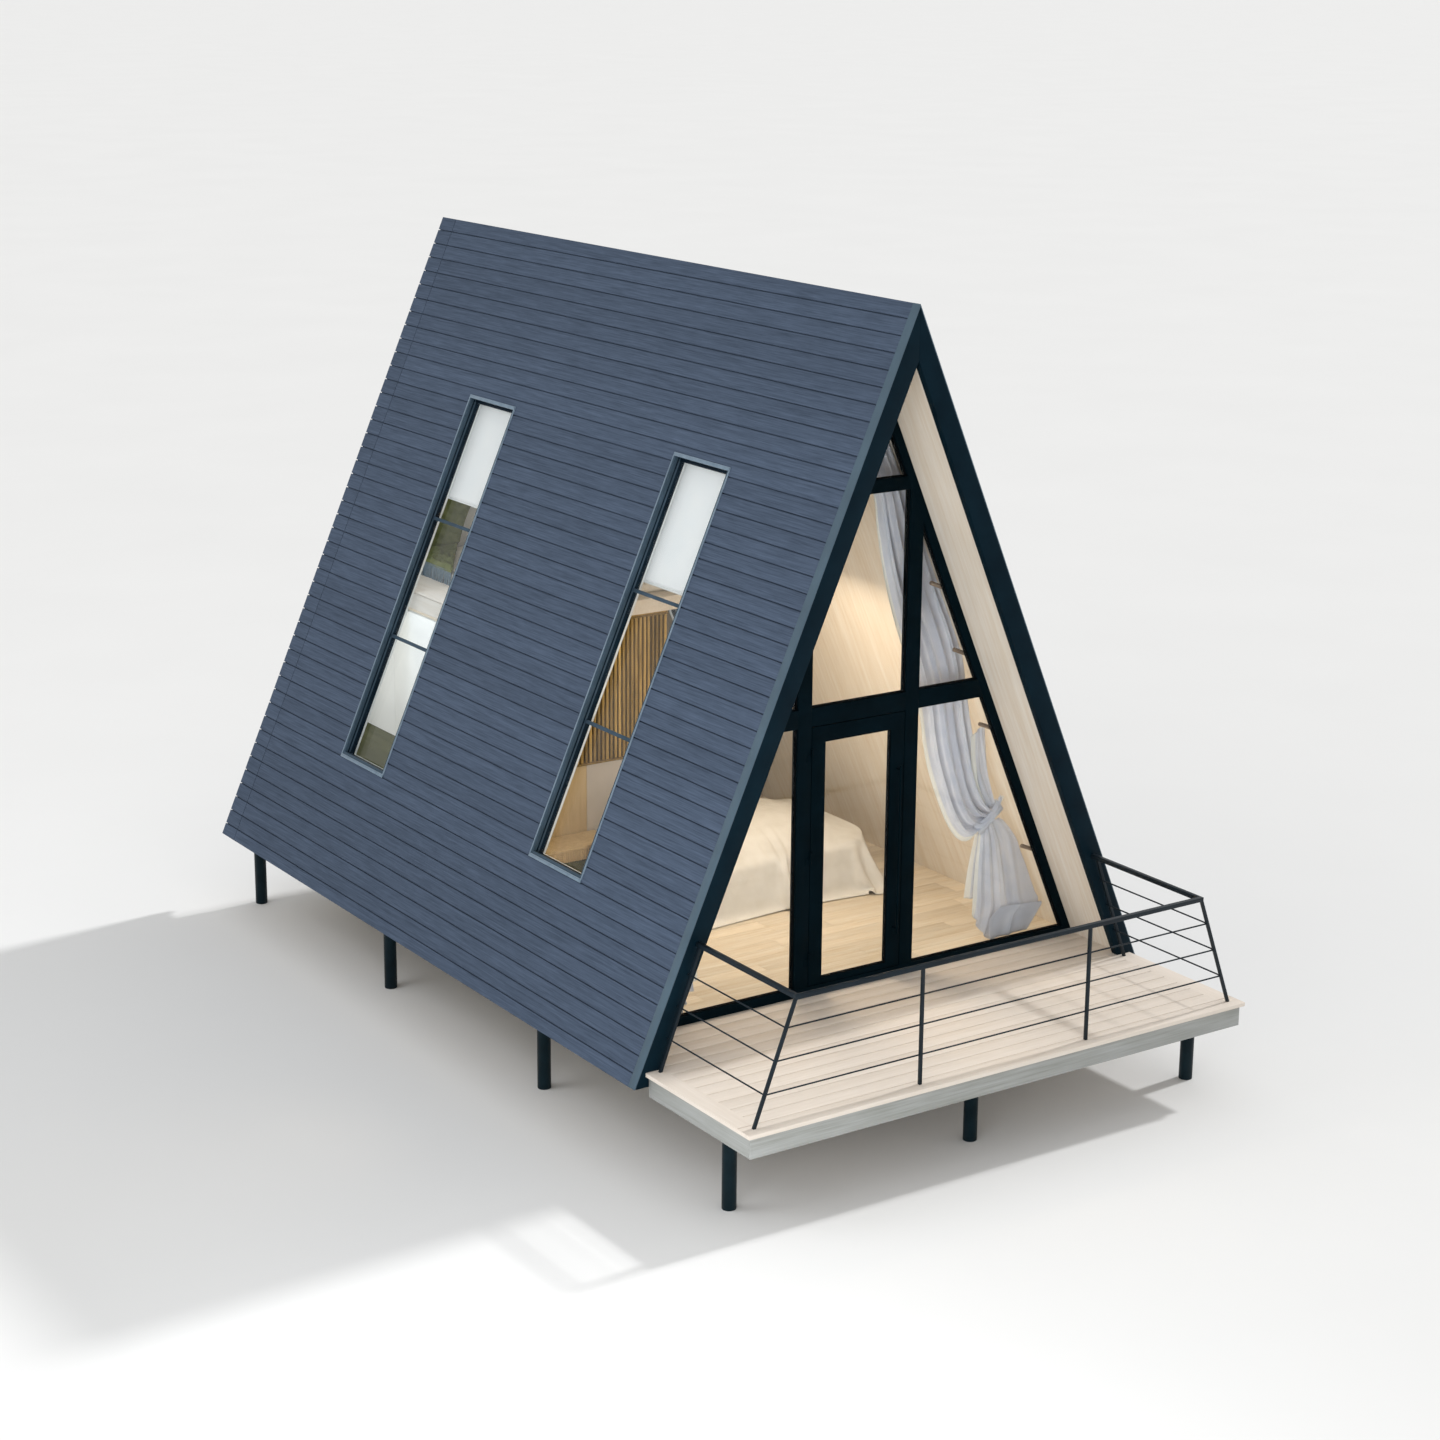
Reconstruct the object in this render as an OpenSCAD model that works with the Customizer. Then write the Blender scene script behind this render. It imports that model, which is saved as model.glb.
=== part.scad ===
/* [Roof] */
// Height of the ridge above the deck boards
ridge_rise = 5450; // [5100:10:5900]
// Half width of the roof at the height of the deck boards
roof_half = 2396; // [2300:2:2500]
// Length of the roof from front edge to back edge
roof_length = 7200; // [7000:10:8000]
// How far the roof runs down past the deck boards
eaves_drop = 115; // [90:1:150]
// Thickness of the outer planks
cladding_t = 22; // [16:1:28]
// Thickness of the insulated structure between planks and lining
core_t = 78; // [70:1:110]
// Thickness of the birch lining
lining_t = 16; // [10:1:22]
// Width of the board on the gable edge, square to the slope
fascia_w = 166; // [150:1:190]
// Thickness of that board
fascia_t = 68; // [50:1:80]
// Width of the folded metal trim on the roof's front edge
verge_w = 90; // [80:1:120]
// Thickness of the trim
verge_t = 8; // [4:1:12]

/* [Roof windows] */
// Width of a roof window over its trim
window_w = 785; // [600:5:900]
// Length of a roof window down the slope
window_l = 3376; // [2600:4:3600]
// Distance down the slope from the ridge to the window's top edge
window_top = 1512; // [1400:2:1700]
// Distance from the roof's front edge to the middle of the front window
front_window_y = 1915; // [1700:5:2200]
// Distance from the roof's front edge to the middle of the rear window
rear_window_y = 5217; // [5000:5:5500]
// Width of the trim that lies on the planks
window_trim_w = 30; // [22:1:50]
// How far the trim stands above the planks
window_trim_t = 12; // [6:1:20]
// Wall of the window's lining frame
window_wall = 15; // [10:1:24]
// Depth of the glass below the planks' outer face
window_glass_depth = 78; // [60:1:85]
// Width of the two cross bars
window_bar_w = 30; // [20:1:44]
// Depth of the two cross bars
window_bar_d = 30; // [20:1:50]
// Length of blind drawn down the front window
front_blind_drop = 1065; // [800:5:1600]
// Length of blind drawn down the rear windows
rear_blind_drop = 945; // [800:5:1600]
// Diameter of the blind's roller
roller_d = 40; // [30:1:55]

/* [Deck] */
// Depth of the deck in front of the gable
deck_depth = 1340; // [1200:10:1600]
// How far the deck's sides stand in from the roof's outer face
deck_inset = 47; // [40:1:60]
// Height of the deck boards' top above the ground
deck_height = 763; // [600:1:900]
// Thickness of the deck boards
deck_board_t = 30; // [24:1:36]
// How far the deck boards stand out past the skirt
nosing = 27; // [15:1:40]
// Height of the skirt board
skirt_h = 163; // [140:1:200]
// Thickness of the skirt board
skirt_t = 25; // [18:1:32]

/* [Piles and floor frame] */
// Diameter of a steel pile
pile_d = 108; // [80:1:120]
// How far the outer piles stand out from the beams' middle
pile_out = 18; // [0:1:24]
// Distance of the first piles from the deck's front edge
pile_setback = 460; // [300:5:600]
// Rows of piles from front to back
pile_rows = 4; // [4:1:5]
// Distance of the last piles from the roof's back edge
pile_back_setback = 280; // [260:5:500]
// Side of the plate on top of a pile
pile_plate_w = 150; // [130:1:160]
// Thickness of that plate
pile_plate_t = 12; // [8:1:16]
// Width of a long beam
beam_w = 90; // [70:1:110]
// Thickness of a joist
joist_t = 45; // [36:1:60]
// Number of joists from front to back
joist_count = 14; // [10:1:16]

/* [Glazed gable] */
// How far the glazing sits behind the gable's front edge
recess = 627; // [500:1:750]
// Depth of the glazing's frame members
frame_depth = 75; // [70:1:100]
// Width of the sloping frame members
rake_w = 70; // [56:1:84]
// Height of the sill
sill_h = 70; // [55:1:80]
// Clear width between the two mullions
door_opening_w = 900; // [850:5:960]
// Width of a mullion
mullion_w = 128; // [100:1:140]
// Height of the door's head above the deck boards
door_head = 2188; // [2100:1:2250]
// Height of the main transom
transom_h = 147; // [120:1:170]
// Height of the upper transom's underside above the deck boards
upper_transom_z = 3943; // [3700:1:3960]
// Height of the upper transom
upper_transom_h = 101; // [80:1:120]
// Thickness of the sealed glass units
glass_t = 24; // [18:1:28]

/* [Door] */
// Thickness of the door leaf
leaf_t = 55; // [48:1:60]
// Gap round the leaf
leaf_gap = 6; // [5:0.5:8]
// Width of the leaf's stiles
stile_w = 128; // [100:1:140]
// Height of the leaf's top rail
top_rail_h = 127; // [100:1:150]
// Height of the leaf's bottom rail
bottom_rail_h = 42; // [36:1:60]
// Number of hinges
hinge_count = 3; // [2:1:4]
// Outer diameter of a hinge knuckle
knuckle_d = 16; // [14:1:20]
// Diameter of a hinge pin
hinge_pin_d = 8; // [6:0.5:9]
// Length of one knuckle
knuckle_l = 50; // [40:1:60]
// Running clearance of a pin in its knuckle, on the radius
pin_clearance = 0.1; // [0.05:0.01:0.1]
// Length of the pull handle
handle_l = 1390; // [800:10:1500]
// Diameter of the pull handle
handle_d = 18; // [16:1:28]
// Distance from the leaf to the middle of the handle
handle_standoff = 50; // [40:1:60]
// Height of the handle's middle above the deck boards
handle_z = 1067; // [1000:1:1200]

/* [Railing] */
// Height of the top rail above the deck boards
rail_h = 928; // [850:1:1050]
// Distance of the front railing from the deck's front edge
rail_setback = 92; // [60:1:150]
// Distance of the side railings' feet from the deck's sides
rail_inset = 100; // [60:1:150]
// How far the side railings lean in at their top
rail_lean = 352; // [0:1:400]
// Side of a post
post_w = 24; // [20:1:32]
// Width of the top rail
top_rail_w = 36; // [30:1:50]
// Height of the top rail
top_rail_t = 34; // [24:1:40]
// Diameter of the lower rails
rod_d = 12; // [8:1:14]
// Number of lower rails
rod_count = 3; // [2:1:5]
// Distance of the two middle posts from the middle
mid_post_x = 789; // [600:1:1000]
// Distance of the back posts from the gable's front edge
back_post_gap = 43; // [30:1:80]

/* [Rear gable] */
// How far the rear wall sits inside the roof's back edge
rear_recess = 200; // [120:5:300]
// Thickness of the rear wall behind its planks
rear_wall_t = 120; // [90:1:150]

/* [Room] */
// Thickness of the room's floor
floor_t = 30; // [24:1:36]
// Distance from the gable's front edge to the bed
bed_y = 2490; // [2400:5:2600]
// Width of the bed from front to back
bed_w = 1400; // [1200:10:1500]
// Where the bed's foot end is, from the middle
bed_foot_x = 1470; // [1300:5:1550]
// Length of the bed
bed_l = 2050; // [1950:5:2200]
// Height of the bed's base
bed_base_h = 260; // [200:5:320]
// Thickness of the mattress
mattress_t = 200; // [160:5:240]
// Thickness of the duvet over the mattress
duvet_t = 210; // [150:5:240]
// How far the duvet hangs out past the bed
duvet_over = 60; // [40:1:90]
// Thickness of a pillow
pillow_t = 130; // [100:5:160]
// Distance from the gable's front edge to the slatted partition
partition_y = 4300; // [4100:5:4400]
// Thickness of the partition
partition_t = 60; // [40:1:80]
// Where the partition ends beside the passage
partition_end_x = 620; // [400:5:700]
// Height of the loft's underside above the floor
loft_z = 2220; // [2100:5:2300]
// Thickness of the loft
loft_t = 130; // [100:1:160]
// Thickness of the loft's mattress
loft_mattress_t = 120; // [80:5:160]
// Thickness of the folded blanket on it
blanket_t = 150; // [80:5:220]
// Depth of the wardrobe under the loft, across the room
wardrobe_d = 600; // [450:5:650]
// Length of the wardrobe
wardrobe_l = 1900; // [1500:10:2000]
// Thickness of a curtain, gathered
curtain_t = 150; // [100:5:200]
// Diameter of a wall peg
peg_d = 34; // [24:1:40]
// Length of a wall peg
peg_l = 170; // [120:5:190]
// Angle at which a wall peg rises from level
peg_rise = 23; // [10:1:40]
// Distance of the wall pegs behind the glazing
peg_back = 50; // [40:1:70]
// Heights of the wall pegs above the floor
peg_heights = [740, 1855, 2510, 3080];
// Height of a curtain's top above the floor
curtain_top_h = 4380; // [4100:10:4400]
// Height of a curtain's knot above the floor
knot_h = 980; // [900:5:1100]
// Distance of the knot from the middle
knot_x = 1495; // [1450:5:1540]

/* [Hidden] */
$fn = 48;

// Small allowance that carries a cut past a face
past = 1;
// Clearance round soft pieces
soft_gap = 0.3;
// Clearance between pieces that meet on a slope
fit_gap = 0.1;
roof_t = cladding_t + core_t + lining_t;
room_d = roof_t + fit_gap;
half_angle = atan(roof_half / ridge_rise);
deck_half = roof_half - deck_inset;
ridge_z = deck_height + ridge_rise;
eaves_z = deck_height - eaves_drop;
front_y = (deck_depth - roof_length) / 2;
rear_y = front_y + roof_length;
deck_front_y = front_y - deck_depth;
frame_bottom_z = deck_height - deck_board_t - skirt_h;
glazing_y = front_y + recess;
door_half = door_opening_w / 2;
mullion_outer = door_half + mullion_w;
rear_wall_y = rear_y - rear_recess - cladding_t - rear_wall_t;
floor_front_y = glazing_y + frame_depth;

// Half width of the roof at height z, on a plane d inside its outer face
function slope_x(z, d) = (ridge_z - z) * tan(half_angle) - d / cos(half_angle);

// Height at which a plane d inside the roof's outer face is x from the middle
function slope_z(x, d) = ridge_z - (x + d / cos(half_angle)) / tan(half_angle);

// Extrudes a front view drawn in X and Z from y1 to y2
module across(y1, y2) {
    translate([0, y2, 0])
        rotate([90, 0, 0])
            linear_extrude(y2 - y1)
                children();
}

// Puts children in the right slope's own axes: down the slope, back, and out of it
module on_slope() {
    translate([0, 0, ridge_z])
        rotate([0, 90 - half_angle, 0])
            children();
}

module on_left() {
    mirror([1, 0, 0]) children();
}

module both_sides() {
    children();
    on_left() children();
}

// One layer of the right slope between two depths
module slope_layer(d1, d2, y1, y2) {
    across(y1, y2)
        polygon([
            [slope_x(eaves_z, d1), eaves_z],
            [0, slope_z(0, d1)],
            [0, slope_z(0, d2)],
            [slope_x(eaves_z, d2), eaves_z]
        ]);
}

left_windows = [front_window_y, rear_window_y];
right_windows = [rear_window_y];
window_edge = window_trim_w - window_wall;
hole_w = window_w - 2 * window_edge;
hole_l = window_l - 2 * window_edge;
pane_w = hole_w - 2 * window_wall;
pane_l = hole_l - 2 * window_wall;

// A box on the right slope, centred on a window, between two heights over the planks
module window_box(y, w, l, low, high) {
    on_slope()
        translate([window_top + (window_l - l) / 2, front_y + y - w / 2, low])
            cube([l, w, high - low]);
}

module slope_layer_with_windows(d1, d2, y1, y2, windows) {
    difference() {
        slope_layer(d1, d2, y1, y2);
        for (y = windows)
            window_box(y, hole_w + 2 * fit_gap, hole_l + 2 * fit_gap, -roof_t - past, past);
    }
}

module roof_core(windows) {
    slope_layer_with_windows(cladding_t, cladding_t + core_t, front_y + fascia_t, rear_y - fascia_t, windows);
}

module roof_cladding(windows) {
    slope_layer_with_windows(0, cladding_t, front_y + verge_w, rear_y, windows);
}

module roof_lining(windows) {
    slope_layer_with_windows(roof_t - lining_t, roof_t, front_y + fascia_t, rear_y - fascia_t, windows);
}

module roof_core_left() { color("burlywood") on_left() roof_core(left_windows); }
module roof_core_right() { color("burlywood") roof_core(right_windows); }
module roof_cladding_left() { color("#4a5466") on_left() roof_cladding(left_windows); }
module roof_cladding_right() { color("#4a5466") roof_cladding(right_windows); }
module roof_lining_left() { color("#d5c8b8") on_left() roof_lining(left_windows); }
module roof_lining_right() { color("#d5c8b8") roof_lining(right_windows); }

module front_fascia() { slope_layer(verge_t, fascia_w, front_y, front_y + fascia_t); }
module rear_fascia() { slope_layer(cladding_t, fascia_w, rear_y - fascia_t, rear_y); }
module front_fascia_left() { color("#0c1c26") on_left() front_fascia(); }
module front_fascia_right() { color("#0c1c26") front_fascia(); }
module rear_fascia_left() { color("#0c1c26") on_left() rear_fascia(); }
module rear_fascia_right() { color("#0c1c26") rear_fascia(); }

module verge_trim() {
    color("#566676")
        both_sides() {
            slope_layer(0, verge_t, front_y, front_y + verge_w);
            slope_layer(verge_t, cladding_t, front_y + fascia_t, front_y + verge_w);
        }
}

// The gable's area under the roof's lining
module gable_outline(low_z) {
    polygon([
        [-slope_x(low_z, room_d), low_z],
        [slope_x(low_z, room_d), low_z],
        [0, slope_z(0, room_d)]
    ]);
}

module rear_wall() {
    color("#e6e4e0")
        across(rear_wall_y, rear_wall_y + rear_wall_t)
            gable_outline(frame_top_z);
}

module rear_cladding() {
    color("#4a5466")
        across(rear_wall_y + rear_wall_t, rear_y - rear_recess)
            gable_outline(eaves_z);
}

pile_plate_z = frame_bottom_z - pile_plate_t;
first_pile_y = deck_front_y + pile_setback;
pile_step = (rear_y - pile_back_setback - first_pile_y) / (pile_rows - 1);

module pile() {
    cylinder(d = pile_d, h = pile_plate_z);
    translate([-pile_plate_w / 2, -pile_plate_w / 2, pile_plate_z])
        cube([pile_plate_w, pile_plate_w, pile_plate_t]);
}

module piles() {
    color("#22303a")
        for (row = [0 : pile_rows - 1], x = [-pile_x, 0, pile_x])
            translate([x, first_pile_y + row * pile_step, 0])
                pile();
}

frame_top_z = deck_height - floor_t;
skirt_x = deck_half - nosing;
skirt_y = deck_front_y + nosing;
frame_front_y = skirt_y + skirt_t;
frame_rear_y = rear_wall_y + rear_wall_t;
beam_x = min(skirt_x - skirt_t, slope_x(frame_top_z, fascia_w)) - fit_gap - beam_w / 2;
pile_x = beam_x + pile_out;
joist_step = (frame_rear_y - frame_front_y - joist_t) / (joist_count - 1);

// Long beams over the piles, tied by joists
module floor_frame() {
    frame_h = frame_top_z - frame_bottom_z;
    color("#9a7d58") {
        for (x = [-beam_x, 0, beam_x])
            translate([x - beam_w / 2, frame_front_y, frame_bottom_z])
                cube([beam_w, frame_rear_y - frame_front_y, frame_h]);
        for (i = [0 : joist_count - 1])
            translate([-beam_x, frame_front_y + i * joist_step, frame_bottom_z])
                cube([2 * beam_x, joist_t, frame_h]);
    }
}

module floor_panel() {
    color("#dcc29a")
        across(floor_front_y, rear_wall_y)
            polygon([
                [-slope_x(frame_top_z, room_d), frame_top_z],
                [slope_x(frame_top_z, room_d), frame_top_z],
                [slope_x(deck_height, room_d), deck_height],
                [-slope_x(deck_height, room_d), deck_height]
            ]);
}

// Deck boards, running in between the fascias to the foot of the glazing
module deck_boards() {
    porch_half = slope_x(deck_height, fascia_w) - fit_gap;
    board_z = deck_height - deck_board_t;
    color("#e3d6c6") {
        translate([-deck_half, deck_front_y, board_z])
            cube([2 * deck_half, deck_depth, deck_board_t]);
        translate([-porch_half, front_y - past, board_z])
            cube([2 * porch_half, fascia_t + 2 * past, deck_board_t]);
        across(front_y + fascia_t, floor_front_y)
            polygon([
                [-slope_x(board_z, room_d), board_z],
                [slope_x(board_z, room_d), board_z],
                [slope_x(deck_height, room_d), deck_height],
                [-slope_x(deck_height, room_d), deck_height]
            ]);
    }
}

module deck_skirt_front() {
    color("#cbc6be")
        translate([-skirt_x, skirt_y, frame_bottom_z])
            cube([2 * skirt_x, skirt_t, skirt_h]);
}

module deck_skirt_sides() {
    color("#cbc6be")
        both_sides()
            translate([skirt_x - skirt_t, skirt_y + skirt_t, frame_bottom_z])
                cube([skirt_t, front_y - skirt_y - skirt_t, skirt_h]);
}

rail_foot_half = deck_half - rail_inset;
rail_top_half = rail_foot_half - rail_lean;
rail_y = deck_front_y + rail_setback;
back_post_y = front_y - back_post_gap;

// Half width of the leaning railing at a height over the deck boards
function rail_x(h) = rail_foot_half + (rail_top_half - rail_foot_half) * h / rail_h;

// Right-hand post that leans inwards as the roof does
module leaning_post(y) {
    top = rail_h - top_rail_t;
    across(y - post_w / 2, y + post_w / 2)
        polygon([
            [rail_x(0) - post_w / 2, deck_height],
            [rail_x(0) + post_w / 2, deck_height],
            [rail_x(top) + post_w / 2, deck_height + top],
            [rail_x(top) - post_w / 2, deck_height + top]
        ]);
}

module railing_front() {
    rail_end = rail_top_half + top_rail_w / 2;
    color("#28343c") {
        both_sides() {
            leaning_post(rail_y);
            translate([mid_post_x - post_w / 2, rail_y - post_w / 2, deck_height])
                cube([post_w, post_w, rail_h - top_rail_t]);
        }
        translate([-rail_end, rail_y - top_rail_w / 2, deck_height + rail_h - top_rail_t])
            cube([2 * rail_end, top_rail_w, top_rail_t]);
        for (i = [1 : rod_count]) {
            h = rail_h * i / (rod_count + 1);
            translate([-rail_x(h), rail_y, deck_height + h])
                rotate([0, 90, 0])
                    cylinder(d = rod_d, h = 2 * rail_x(h), $fn = 24);
        }
    }
}

module railing_side() {
    top_start = rail_y + top_rail_w / 2;
    rod_start = rail_y + post_w / 2;
    leaning_post(back_post_y);
    translate([rail_top_half - top_rail_w / 2, top_start, deck_height + rail_h - top_rail_t])
        cube([top_rail_w, front_y - top_start, top_rail_t]);
    for (i = [1 : rod_count]) {
        h = rail_h * i / (rod_count + 1);
        translate([rail_x(h), rod_start, deck_height + h])
            rotate([-90, 0, 0])
                cylinder(d = rod_d, h = front_y - rod_start, $fn = 24);
    }
}

module railing_left() { color("#28343c") on_left() railing_side(); }
module railing_right() { color("#28343c") railing_side(); }

rake_in = room_d + rake_w;
panel_d = rake_in + fit_gap;
sill_top = deck_height + sill_h;
head_z = deck_height + door_head;
transom_top = head_z + transom_h;
upper_low = deck_height + upper_transom_z;
upper_top = upper_low + upper_transom_h;

module rake_frame() {
    across(glazing_y, floor_front_y)
        polygon([
            [slope_x(deck_height, room_d), deck_height],
            [0, slope_z(0, room_d)],
            [0, slope_z(0, rake_in)],
            [slope_x(deck_height, rake_in), deck_height]
        ]);
}

module rake_frame_left() { color("#06161e") on_left() rake_frame(); }
module rake_frame_right() { color("#06161e") rake_frame(); }

module gable_sill() {
    color("#06161e")
        across(glazing_y, floor_front_y)
            polygon([
                [-slope_x(deck_height, panel_d), deck_height],
                [slope_x(deck_height, panel_d), deck_height],
                [slope_x(sill_top, panel_d), sill_top],
                [-slope_x(sill_top, panel_d), sill_top]
            ]);
}

module mullions() {
    color("#06161e")
        both_sides()
            across(glazing_y, floor_front_y)
                polygon([
                    [door_half, sill_top],
                    [mullion_outer, sill_top],
                    [mullion_outer, slope_z(mullion_outer, panel_d)],
                    [door_half, slope_z(door_half, panel_d)]
                ]);
}

module transoms() {
    color("#06161e")
        across(glazing_y, floor_front_y) {
            polygon([[-door_half, head_z], [door_half, head_z], [door_half, transom_top], [-door_half, transom_top]]);
            both_sides()
                polygon([
                    [mullion_outer, head_z],
                    [slope_x(head_z, panel_d), head_z],
                    [slope_x(transom_top, panel_d), transom_top],
                    [mullion_outer, transom_top]
                ]);
            polygon([
                [-door_half, upper_low],
                [door_half, upper_low],
                [door_half, slope_z(door_half, panel_d)],
                [slope_x(upper_top, panel_d), upper_top],
                [-slope_x(upper_top, panel_d), upper_top],
                [-door_half, slope_z(door_half, panel_d)]
            ]);
        }
}

module gable_glass() {
    glass_y = glazing_y + (frame_depth - glass_t) / 2;
    color("lightblue", 0.35)
        across(glass_y, glass_y + glass_t) {
            polygon([
                [-slope_x(upper_top, panel_d), upper_top],
                [slope_x(upper_top, panel_d), upper_top],
                [0, slope_z(0, panel_d)]
            ]);
            translate([-door_half, transom_top])
                square([door_opening_w, upper_low - transom_top]);
            both_sides() {
                polygon([
                    [mullion_outer, transom_top],
                    [slope_x(transom_top, panel_d), transom_top],
                    [mullion_outer, slope_z(mullion_outer, panel_d)]
                ]);
                polygon([
                    [mullion_outer, sill_top],
                    [slope_x(sill_top, panel_d), sill_top],
                    [slope_x(head_z, panel_d), head_z],
                    [mullion_outer, head_z]
                ]);
            }
        }
}

leaf_half = door_half - leaf_gap;
leaf_low = sill_top + leaf_gap;
leaf_high = head_z - leaf_gap;
leaf_glass_half = leaf_half - stile_w;
leaf_glass_low = leaf_low + bottom_rail_h;
leaf_glass_high = leaf_high - top_rail_h;

module door_leaf() {
    color("#06161e")
        across(glazing_y, glazing_y + leaf_t)
            difference() {
                translate([-leaf_half, leaf_low])
                    square([2 * leaf_half, leaf_high - leaf_low]);
                translate([-leaf_glass_half, leaf_glass_low])
                    square([2 * leaf_glass_half, leaf_glass_high - leaf_glass_low]);
            }
}

module door_glass() {
    glass_y = glazing_y + (leaf_t - glass_t) / 2;
    color("lightblue", 0.35)
        translate([-leaf_glass_half, glass_y, leaf_glass_low])
            cube([2 * leaf_glass_half, glass_t, leaf_glass_high - leaf_glass_low]);
}

module door_handle() {
    post_d = 14;
    post_out = handle_l / 2 - 2 * handle_d;
    color("#1b262c")
        translate([leaf_half - stile_w / 2, glazing_y - handle_standoff, deck_height + handle_z]) {
            cylinder(d = handle_d, h = handle_l, center = true);
            for (side = [-1, 1])
                translate([0, 0, side * post_out])
                    rotate([-90, 0, 0])
                        cylinder(d = post_d, h = handle_standoff);
        }
}

hinge_x = -door_half + leaf_gap / 2;
hinge_y = glazing_y - knuckle_d / 2;
hinge_plate_t = 4;
hinge_plate_w = 44;
knuckle_gap = 0.3;
hinge_end = 220;

module at_hinges() {
    span = leaf_high - leaf_low - 2 * hinge_end;
    for (i = [0 : hinge_count - 1])
        translate([hinge_x, hinge_y, leaf_low + hinge_end + span * i / (hinge_count - 1)])
            children();
}

// Upper half of each hinge, on the leaf
module hinge_knuckles() {
    color("#1b262c")
        at_hinges()
            difference() {
                union() {
                    cylinder(d = knuckle_d, h = knuckle_l);
                    translate([0, knuckle_d / 2 - hinge_plate_t, 0])
                        cube([hinge_plate_w, hinge_plate_t, knuckle_l]);
                }
                translate([0, 0, -past])
                    cylinder(d = hinge_pin_d + 2 * pin_clearance, h = knuckle_l + 2 * past);
            }
}

// Lower half of each hinge with its pin, on the mullion
module hinge_pins() {
    color("#1b262c")
        at_hinges() {
            translate([0, 0, -knuckle_l - knuckle_gap])
                cylinder(d = knuckle_d, h = knuckle_l);
            translate([-hinge_plate_w, knuckle_d / 2 - hinge_plate_t, -knuckle_l - knuckle_gap])
                cube([hinge_plate_w, hinge_plate_t, knuckle_l]);
            translate([0, 0, -knuckle_l / 2])
                cylinder(d = hinge_pin_d, h = 1.5 * knuckle_l);
        }
}

module window_frame(y) {
    difference() {
        union() {
            window_box(y, window_w, window_l, fit_gap, window_trim_t);
            window_box(y, hole_w, hole_l, -roof_t, window_trim_t);
        }
        window_box(y, pane_w, pane_l, -roof_t - past, window_trim_t + past);
    }
    for (side = [-1, 1])
        on_slope()
            translate([
                window_top + window_l / 2 + side * pane_l / 6 - window_bar_w / 2,
                front_y + y - pane_w / 2,
                -window_glass_depth
            ])
                cube([window_bar_w, pane_w, window_bar_d]);
}

module roof_window_frames_left() {
    color("#33434f")
        on_left()
            for (y = left_windows)
                window_frame(y);
}

module roof_window_frame_right() {
    color("#33434f")
        for (y = right_windows)
            window_frame(y);
}

module window_glass(y) {
    window_box(y, pane_w, pane_l, -window_glass_depth - glass_t, -window_glass_depth);
}

module roof_window_glass() {
    color("lightblue", 0.35) {
        on_left()
            for (y = left_windows)
                window_glass(y);
        for (y = right_windows)
            window_glass(y);
    }
}

blind_t = 3;
blind_w = pane_w + 2 * window_wall;
blind_bar_d = 18;
bracket_t = 8;

// Roller, cloth and bottom bar, hung close under the lining
module roller_blind(y, drop) {
    cloth_top = window_top + window_edge;
    roller_n = -roof_t - roller_d / 2 - soft_gap;
    on_slope()
        translate([cloth_top, front_y + y, roller_n]) {
            rotate([90, 0, 0])
                cylinder(d = roller_d, h = blind_w, center = true);
            for (side = [-1, 1])
                translate([-roller_d / 2, side * (blind_w + bracket_t) / 2 - bracket_t / 2, -roller_d / 2])
                    cube([roller_d, bracket_t, roller_d + soft_gap]);
            translate([0, -blind_w / 2, roller_d / 2 - blind_t])
                cube([drop, blind_w, blind_t]);
            translate([drop, -blind_w / 2, roller_d / 2 - blind_bar_d / 2 - blind_t / 2])
                cube([blind_bar_d, blind_w, blind_bar_d / 2 + blind_t / 2]);
        }
}

module roller_blinds() {
    color("#eef0f0") {
        on_left() {
            roller_blind(front_window_y, front_blind_drop);
            roller_blind(rear_window_y, rear_blind_drop);
        }
        roller_blind(rear_window_y, rear_blind_drop);
    }
}

bed_front_y = front_y + bed_y;
bed_head_x = bed_foot_x - bed_l;
mattress_z = deck_height + bed_base_h;
duvet_z = mattress_z + mattress_t;

module bed_base() {
    color("#b98a58")
        translate([bed_head_x, bed_front_y, deck_height])
            cube([bed_l, bed_w, bed_base_h]);
}

module mattress() {
    color("#f1ede4")
        translate([bed_head_x, bed_front_y, mattress_z])
            cube([bed_l, bed_w, mattress_t]);
}

pillow_l = 620;
pillow_w = 420;
pillow_inset = 30;

// Quilt over the mattress, hanging down the front and the foot end
module duvet() {
    pillow_space = 80;
    hem_lift = 8;
    shoulder_share = 0.35;
    crown_in = 300;
    start_x = bed_head_x + pillow_w + pillow_space;
    low = deck_height + hem_lift;
    shoulder = duvet_z + duvet_t * shoulder_share;
    crown = duvet_z + duvet_t;
    foot_x = bed_foot_x + duvet_over;
    near_y = bed_front_y - duvet_over;
    far_y = bed_front_y + bed_w + duvet_over;
    color("#efe9dc")
        difference() {
            hull() {
                translate([start_x, near_y, low])
                    cube([foot_x - start_x, far_y - near_y, shoulder - low]);
                translate([start_x, near_y + crown_in, crown - past])
                    cube([foot_x - crown_in - start_x, far_y - near_y - 2 * crown_in, past]);
            }
            translate([bed_head_x - past, bed_front_y - soft_gap, low - past])
                cube([bed_l + past + soft_gap, bed_w + 2 * soft_gap, duvet_z + soft_gap - low + past]);
        }
}

module pillows() {
    gap = (bed_w - 2 * pillow_l) / 3;
    color("#f6f2ea")
        for (i = [0, 1])
            translate([bed_head_x + pillow_inset, bed_front_y + gap + i * (pillow_l + gap), duvet_z + soft_gap])
                cube([pillow_w, pillow_l, pillow_t]);
}

peg_y = floor_front_y + peg_back;
peg_to_curtain = 25;
curtain_y = peg_y + peg_d / 2 + peg_to_curtain;
curtain_top = deck_height + curtain_top_h;
curtain_hem = deck_height + soft_gap;
knot_z = deck_height + knot_h;

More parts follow.
